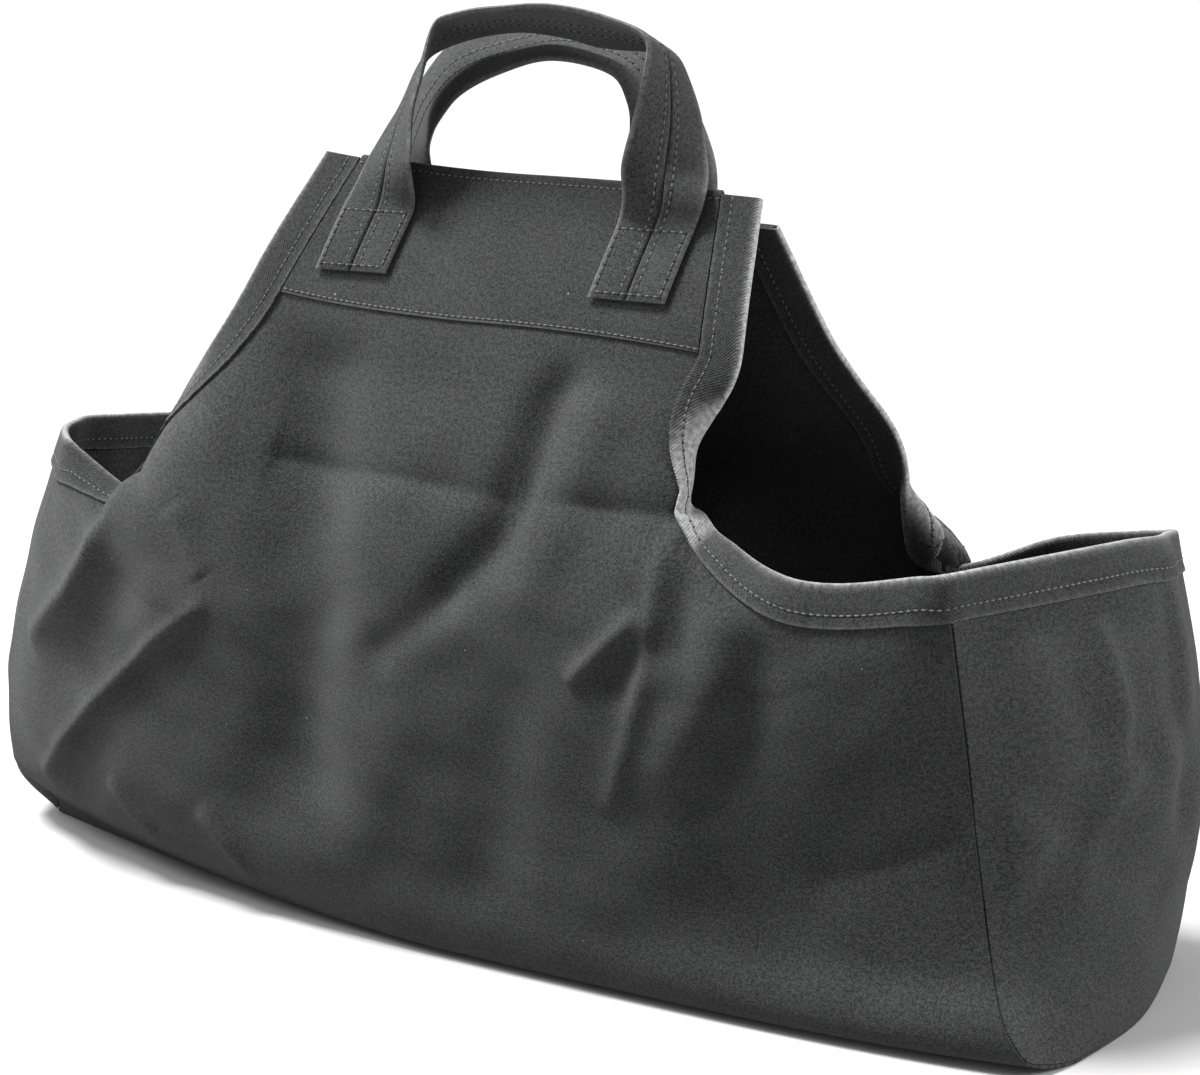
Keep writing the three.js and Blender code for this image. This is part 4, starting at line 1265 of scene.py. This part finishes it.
@dataclass
class TopFacing:
    """The band of cloth round the top of one panel, turned over its hem."""

    TAPE_GAP = 0.8
    STRIDES = 10
    # Distances of the stitch rows from the lower edge and from the hem
    LOW_STITCH = 1.7
    HEM_STITCH = 2.4
    # Height and width of the lower edge's dip and of the dent under the hem's stitches
    LOW_DIP = (0.3, 3.0)
    HEM_DENT = (0.3, 1.4)
    # The turn over the hem: its rows' angles, how far beyond the hem it lies, its rows' cloth
    TURNS = (20, 55, 90, 125, 160)
    CLEAR = 0.4
    FOLD = 6
    FOLD_ROWS = (1, 5)
    # Wear of the lower edge and of the hem
    LOW_WEAR = 0.5
    HEM_WEAR = 0.6

    sheet: BagSheet
    bindings: tuple[EdgeBinding, EdgeBinding]
    side: Side
    columns: int = 110
    rows: int = 40
    turn_in: float = 13.0
    stand_off: float = CANVAS / 2 + GAP + FACING / 2
    flat_width: float = 0.27
    flat_spare: float = 1.1

    def cloth(self) -> tuple[Cloth, list[SeamLine]]:
        """Lay the band on the panel between the tapes.

        Returns:
            The band, and its stitch lines at the lower edge and below the hem.
        """
        sheet = self.sheet
        if self.side is Side.FRONT:
            hem, lower = 0.0, sheet.at("front band")
        else:
            hem, lower = sheet.length, sheet.at("back band")
        v = np.linspace(lower, hem, self.rows)
        fade = smooth_step(0, HEM_EASE, np.minimum(v, sheet.length - v))
        ends = []
        for binding in self.bindings:
            u, w = sheet.inward(binding.wall.end, v, BINDING_WIDTH + self.TAPE_GAP, self.STRIDES)
            ends.append((u[-1], v + (w[-1] - v) * fade))
        share = np.linspace(0, 1, self.columns)[None, :]
        u, w = (left[:, None] + (right - left)[:, None] * share for left, right in zip(*ends))
        places = sheet.place(u, w)
        normals = sheet.outward(sheet.place, u, w)
        up = np.mean([run_lengths(places[:, i]) for i in (0, self.columns // 2, -1)], axis=0)
        top = up[-1]
        dip = self.LOW_DIP[0] * bell(up, 0.0, self.LOW_DIP[1])
        dent = self.HEM_DENT[0] * bell(top - up, self.HEM_STITCH, self.HEM_DENT[1])
        outer = places + normals * (self.stand_off - dip - dent)[:, None, None]
        turn = (places[-1], normals[-1], unit(places[-1] - places[-2]))
        fold, fold_out = turned_over(turn, self.stand_off, self.CLEAR, self.TURNS)
        kept = np.flatnonzero(top - up < self.turn_in)[::-1]
        inner = places[kept] - normals[kept] * self.stand_off
        shaped = np.concatenate([outer, np.stack(fold), inner])
        facing = np.concatenate([normals, np.stack(fold_out), -normals[kept]])
        turned = top + np.linspace(*self.FOLD_ROWS, len(fold))
        along = np.concatenate([up, turned, 2 * top + self.FOLD - up[kept]])
        x = places[np.concatenate([np.arange(self.rows), np.full(len(fold), -1), kept]), :, 0]
        cut = np.stack([x, np.broadcast_to(along[:, None], x.shape)], -1)
        wear_and_highlight_level = self.LOW_WEAR * bell(along, 0.0, 1.2)
        wear_and_highlight_level = wear_and_highlight_level + self.HEM_WEAR * bell(along, top + self.FOLD / 2, 2.2)
        wear_and_highlight = np.broadcast_to(wear_and_highlight_level[:, None], x.shape)
        heights = (self.LOW_STITCH, top - self.HEM_STITCH)
        seams = [self._row(outer, normals, up, height) for height in heights]
        return Cloth(shaped, facing, cut, wear_and_highlight), seams

    @staticmethod
    def _row(places: Array, normals: Array, up: Array, height: float) -> SeamLine:
        """A stitch line at one height of the band."""
        i = int(np.clip(np.searchsorted(up, height), 1, len(up) - 1))
        t = (height - up[i - 1]) / (up[i] - up[i - 1])
        row = places[i - 1] + (places[i] - places[i - 1]) * t
        return SeamLine(row + normals[i] * (FACING / 2 + STITCH_LIFT), normals[i])

    def build(self, finishes: Finishes) -> bpy.types.Object:
        """Make the band and its stitches and dress them."""
        cloth, seams = self.cloth()
        piece = cloth.make(f"top_facing_{self.side.value}", FACING, finishes.canvas)
        settle(piece, "canvas", f"top_band_{self.side.value}")
        stitches = Stitching(pitch=3.4).make(f"facing_stitches_{self.side.value}", seams, finishes)
        settle(stitches, "canvas")
        area = cloth.area()
        flat = (self.flat_width, area / self.flat_width * self.flat_spare)
        return piece


@dataclass(frozen=True)
class Station:
    """A place on a handle's middle line, with the turn and dip of the strap's width."""

    x: float
    y: float
    z: float
    yaw: float
    dip: float


FRONT_LOOP = (
    Station(-79.5, -26, 366.5, 158, 3),
    Station(-79, -18, 382, 144, 5),
    Station(-75, -14, 397, 131, 4),
    Station(-69.5, -11, 414, 126, 1),
    Station(-58, -11, 431, 115, 19),
    Station(-45, -8.5, 435.5, 96, 15),
    Station(-20, -9, 439, 90, 17),
    Station(0, -9, 439, 90, 23),
    Station(22, -9, 436.5, 90, 29),
    Station(50, -9, 433, 92, 21),
    Station(64, -9, 428.5, 97, 15),
    Station(66, -8, 414, 84, 14),
    Station(68, -10, 400, 67, 15),
    Station(69.5, -14, 388, 56, 12),
    Station(71.5, -20.5, 376, 38, 6),
    Station(74, -26, 364, 8, 2),
)

BACK_LOOP = (
    Station(-100, 18, 352, 176, 0),
    Station(-99, 20, 366, 163, -4),
    Station(-93.5, 21, 380, 142, -12),
    Station(-78, 13, 399.5, 134, -30),
    Station(-64, 13.5, 414, 122, -42),
    Station(-34.5, 17, 424.5, 98, -36),
    Station(-6, 18.5, 430, 90, -29),
    Station(18.5, 19.5, 425.5, 88, -20),
    Station(33.5, 20, 420, 88, -18),
    Station(41.5, 20.5, 408.5, 80, -10),
    Station(49.5, 19, 395.5, 66, -4),
    Station(53.5, 18.5, 380, 42, 0),
    Station(56.5, 18.5, 366, 16, 0),
    Station(58.5, 17, 352, 3, 0),
)

# Half of the folded strap's section: distance from its middle, and height off its middle plane
STRAP_HALF = (
    (0.66, -0.05),
    (0.74, 0.55),
    (1.3, 0.95),
    (2.3, 1.05),
    (4.0, 0.72),
    (6.0, 1.0),
    (10.0, 1.0),
    (14.5, 0.98),
    (17.3, 0.85),
    (19.05, 0.62),
    (19.75, 0.0),
    (19.05, -0.62),
    (17.3, -0.85),
    (13.0, -0.9),
    (6.0, -0.9),
)


@dataclass(frozen=True)
class Spine:
    """A strap's middle line, its width and outward directions, and the distances along it."""

    places: Array
    widths: Array
    normals: Array
    along: Array

    def line(self, at: Array, reach: Array, height: float) -> SeamLine:
        """A stitch line through places along and across the strap.

        Args:
            at: the line's distances along the strap.
            reach: the line's distances from the middle.
            height: of the line off the middle plane.

        Returns:
            The line on the strap's outer side.
        """
        known = (self.places, self.widths, self.normals)
        middle, width, normal = (sampled(rows, self.along, at) for rows in known)
        return SeamLine(middle + width * reach[:, None] + normal * height, normal)


@dataclass
class StrapHandle:
    """A handle of folded strap with a middle seam, from one sewn foot to the other."""

    # How many places are taken along a foot, along the loop and along a box's stitch line
    FOOT_PLACES = 16
    LOOP_PLACES = 150
    BOX_PLACES = 24
    # Over how many places the strap's line is softened, and how its cut ends close
    SOFT = 2.0
    CLOSING = 1.6
    CLOSED = 0.04
    # The strap's back in its middle, and which row of its half section lies flat outside
    BACK_MIDDLE = (0.0, -0.88)
    FLAT_ROW = 6
    # Height of the outer layer, and how far the stitches beside the middle seam sink into it
    LAYER = 1.0
    SINK = 0.22
    # Distances of the stitches from the middle seam, and of the boxes from the ends and the middle
    SEAM_REACH = 4.0
    BOX_IN = 2.6
    BOX_REACH = 17.2
    # Wear of the outer edges and how wide it is, and of the back below this height
    EDGE_WEAR = (0.75, 1.3)
    BACK_WEAR = 0.1
    BACK_BELOW = -0.7

    sheet: BagSheet
    side: Side
    feet_x: tuple[float, float]
    feet_bottom: tuple[float, float]
    feet_top: float
    feet_lean: float
    loop: tuple[Station, ...]
    half_width: float = 19.75
    lift: float = CANVAS / 2 + GAP + FACING + STRAP_GAP + STRAP_DEPTH
    spacing: float = 2.2

    def _foot(self, x: float, bottom: float, way: int) -> tuple[Array, Array]:
        """Middle line and width directions of one foot, from its bottom to its top."""
        z = np.linspace(bottom, self.feet_top, self.FOOT_PLACES)
        lean = np.linspace(-0.5, 0.5, self.FOOT_PLACES) * self.feet_lean
        rows = []
        for reach in (-self.half_width, 0.0, self.half_width):
            place, normal = self.sheet.on_panel(self.side, x + lean + way * reach, z)
            rows.append(place + normal * self.lift)
        return rows[1], unit(rows[2] - rows[0])

    def spine(self) -> Spine:
        """Lay the strap's middle line from foot to foot, with places at even distances."""
        left, left_width = self._foot(self.feet_x[0], self.feet_bottom[0], -1)
        right, right_width = self._foot(self.feet_x[1], self.feet_bottom[1], 1)
        stations = [Station(*left[-1], 180, 0), *self.loop, Station(*right[-1], 0, 0)]
        table = np.array([(s.x, s.y, s.z, s.yaw, s.dip) for s in stations])
        knots = run_lengths(table[:, :3])
        at = np.linspace(0, knots[-1], self.LOOP_PLACES)[1:-1]
        x, y, z, yaw, dip = (MonotoneCurve(knots, column)(at) for column in table.T)
        yaw, dip = np.radians(yaw), np.radians(dip)
        width = unit(np.stack([np.cos(yaw), np.sin(yaw), -np.tan(dip)], -1))
        places = np.concatenate([left, np.stack([x, y, z], -1), right[::-1]])
        widths = np.concatenate([left_width, width, right_width[::-1]])
        run = run_lengths(places)
        even = np.linspace(0, run[-1], int(run[-1] / self.spacing))
        places, widths = (eased(sampled(rows, run, even), self.SOFT) for rows in (places, widths))
        widths = unit(widths)
        outer_sign = 1 if self.side is Side.FRONT else -1
        normals = unit(outer_sign * np.cross(unit(np.gradient(places, axis=0)), widths))
        return Spine(places, widths, normals, run_lengths(places))

    def cloth(self) -> tuple[Cloth, list[SeamLine]]:
        """Fold the strap round its middle line.

        Returns:
            The strap and the lines that its stitches follow.
        """
        spine = self.spine()
        widths, normals, along = spine.widths[:, None], spine.normals[:, None], spine.along
        from_end = np.clip(np.minimum(along, along[-1] - along) / self.CLOSING, 0, 1)
        closing = np.sqrt(np.clip(1 - (1 - from_end) ** 2, self.CLOSED, 1))
        half = np.array(STRAP_HALF)
        section = np.concatenate([half, [self.BACK_MIDDLE], half[::-1] * [-1, 1]])
        reach, height = section.T
        lift = height[None, :] * closing[:, None]
        shaped = spine.places[:, None] + widths * reach[None, :, None] + normals * lift[..., None]
        slope = np.gradient(section, axis=0)
        out = np.stack([slope[:, 1], -slope[:, 0]], 1)
        out *= np.sign(out[self.FLAT_ROW, 1])
        facing = widths * out[None, :, :1] + normals * out[None, :, 1:]
        cut = np.stack(np.broadcast_arrays(run_lengths(section)[None, :], along[:, None]), -1)
        edge_wear, edge_width = self.EDGE_WEAR
        wear_and_highlight_level = edge_wear * bell(np.abs(reach), self.half_width, edge_width)
        wear_and_highlight_level = np.where(height > self.BACK_BELOW, wear_and_highlight_level, self.BACK_WEAR)
        wear_and_highlight = np.broadcast_to(wear_and_highlight_level[None, :], shaped.shape[:2])
        return Cloth(shaped, facing, cut, wear_and_highlight), self._stitch_lines(spine)

    def _stitch_lines(self, spine: Spine) -> list[SeamLine]:
        """Rows beside the middle seam on both faces, and the box that holds each foot down."""
        top = self.LAYER + STRAP_LAYER / 2
        inner = slice(2, -2)
        up = spine.normals[inner]
        lines = []
        for reach in (-self.SEAM_REACH, self.SEAM_REACH):
            row = (spine.places + spine.widths * reach)[inner]
            lines.append(SeamLine(row + up * (top - self.SINK), up))
            lines.append(SeamLine(row - up * (top - STITCH_LIFT), -up))
        over = np.linspace(-self.BOX_REACH, self.BOX_REACH, self.BOX_PLACES)
        left, right = (self.feet_top - bottom for bottom in self.feet_bottom)
        last = spine.along[-1]
        for near, far in ((self.BOX_IN, left), (last - self.BOX_IN, last - right)):
            down = np.linspace(near, far, self.BOX_PLACES)
            lines += [spine.line(down, np.full(down.shape, reach), top) for reach in over[[0, -1]]]
            lines += [spine.line(np.full(over.shape, at), over, top) for at in (near, far)]
        return lines

    def build(self, finishes: Finishes) -> bpy.types.Object:
        """Make the handle and its stitches and dress them."""
        cloth, seams = self.cloth()
        side = self.side.value
        piece = cloth.make(f"strap_handle_{side}", STRAP_LAYER, finishes.strap)
        settle(piece, "strap", f"handle_{side}")
        stitches = Stitching(pitch=4.2, hole_shade=1.6).make(f"handle_stitches_{side}", seams, finishes)
        settle(stitches, "strap")
        width = 4 * self.half_width * MM
        flat = (width, cloth.area() / width)
        return piece


def stand(data: bpy.types.ID, place: Sequence[float], right: Array, back: Array) -> bpy.types.Object:
    """Put a light or a camera into the scene.

    Args:
        data: the light or camera.
        place: where it stands, in metres.
        right: the direction to its right.
        back: the direction behind it.

    Returns:
        Its object.
    """
    axes = np.stack([right, np.cross(back, right), back], axis=1)
    thing = bpy.data.objects.new(data.name, data)
    thing.matrix_world = Matrix.Translation(place) @ Matrix(axes.tolist()).to_4x4()
    bpy.context.scene.collection.objects.link(thing)
    return thing


def hang(light: bpy.types.Light, place: Sequence[float], aim: Sequence[float]) -> None:
    """Hang a light at a place, level and turned to its aim."""
    back = unit(np.subtract(place, aim))
    stand(light, place, unit(np.cross([0.0, 0.0, 1.0], back)), back)


@dataclass(frozen=True)
class KeyLight:
    """The main light: broad, soft and far away."""

    aim: tuple[float, float, float] = (0.4, 0.13, -0.9)
    strength: float = 11.0
    spread: float = 17.0

    def build(self) -> None:
        """Hang the light."""
        light = bpy.data.lights.new("key_light", "SUN")
        light.energy = self.strength
        light.angle = math.radians(self.spread)
        hang(light, (0.0, 0.0, 0.0), self.aim)


@dataclass(frozen=True)
class SoftBox:
    """A rectangular studio light."""

    name: str
    place: tuple[float, float, float]
    aim: tuple[float, float, float]
    size: tuple[float, float]
    power: float

    def build(self) -> None:
        """Hang the light and turn it to its aim."""
        light = bpy.data.lights.new(self.name, "AREA")
        light.shape = "RECTANGLE"
        light.size, light.size_y = self.size
        light.energy = self.power
        hang(light, self.place, self.aim)


@dataclass(frozen=True)
class Studio:
    """Floor, light and camera."""

    camera_place: tuple[float, float, float] = (0.65201, -1.08053, 0.4844)
    camera_turn: float = 29.5
    camera_dip: float = 13.3
    camera_roll: float = 0.5
    lens: float = 78.066
    sensor: float = 36.0
    sight: float = 200.0
    floor_size: float = 80.0
    sky: float = 0.8
    key: KeyLight = KeyLight()
    boxes: tuple[SoftBox, ...] = (
        SoftBox("right_box", (1.7, 0.55, 0.8), (0.2, 0.0, 0.18), size=(0.7, 0.7), power=46.0),
        SoftBox("left_box", (-0.85, -0.5, 0.85), (-0.05, -0.05, 0.3), size=(0.4, 0.4), power=12.0),
    )

    def camera(self) -> None:
        """Stand the camera where the photograph was taken from."""
        angles = (self.camera_turn, self.camera_dip, self.camera_roll)
        turn, dip, roll = (math.radians(angle) for angle in angles)
        level = np.array([math.cos(turn), math.sin(turn), 0.0])
        ahead = np.array([-math.sin(turn), math.cos(turn), -math.tan(dip)]) * math.cos(dip)
        right = math.cos(roll) * level + math.sin(roll) * np.cross(level, ahead)
        data = bpy.data.cameras.new("camera")
        data.lens = self.lens
        data.sensor_width = self.sensor
        data.clip_end = self.sight
        bpy.context.scene.camera = stand(data, self.camera_place, right, -ahead)

    def floor(self) -> None:
        """Lay the floor just under the bag."""
        bpy.ops.object.select_all(action="DESELECT")
        bpy.ops.mesh.primitive_plane_add(size=self.floor_size, location=(0, 0, 0))
        floor = bpy.context.active_object
        floor.name = "floor"
        floor.data.materials.append(FloorFinish().build())

    def daylight(self) -> None:
        """Give the room an even pale light."""
        world = bpy.data.worlds.new("room")
        world.use_nodes = True
        background = world.node_tree.nodes["Background"]
        background.inputs["Color"].default_value = (1.0, 1.0, 1.0, 1.0)
        background.inputs["Strength"].default_value = self.sky
        bpy.context.scene.world = world

    def build(self) -> None:
        """Set up the whole studio."""
        self.camera()
        self.floor()
        self.daylight()
        self.key.build()
        for box in self.boxes:
            box.build()
        bpy.context.scene.view_settings.view_transform = "Standard"


def main() -> None:
    """Build the studio and the bag, piece by piece."""
    logging.basicConfig(level=logging.INFO, format="%(name)s: %(message)s")
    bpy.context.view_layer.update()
    bpy.ops.object.select_all(action="DESELECT")
    Studio().build()
    finishes = Finishes.build()
    sheet = BagSheet()
    CanvasBody(sheet).build(finishes)
    left = EndWall(
        sheet, End.LEFT, rim_bulge=35, rim_share=0.5, rim_lift=0, wall_bulge=14, folds=LEFT_FOLDS
    )
    right = EndWall(
        sheet, End.RIGHT, rim_bulge=20, rim_share=0.6, rim_lift=6, wall_bulge=18, folds=RIGHT_FOLDS
    )
    walls = (left, right)
    bindings = tuple(EdgeBinding(sheet, wall) for wall in walls)
    for piece in (*walls, *bindings):
        piece.build(finishes)
    for side in Side:
        TopFacing(sheet, bindings, side).build(finishes)
    front = StrapHandle(
        sheet, Side.FRONT, (-87, 66), (316, 313), feet_top=348, feet_lean=6.5, loop=FRONT_LOOP
    )
    back = StrapHandle(
        sheet, Side.BACK, (-100, 58), (299, 299), feet_top=330, feet_lean=0.0, loop=BACK_LOOP
    )
    for handle in (front, back):
        handle.build(finishes)
    LOG.info("all pieces made")


if __name__ == "__main__":
    main()
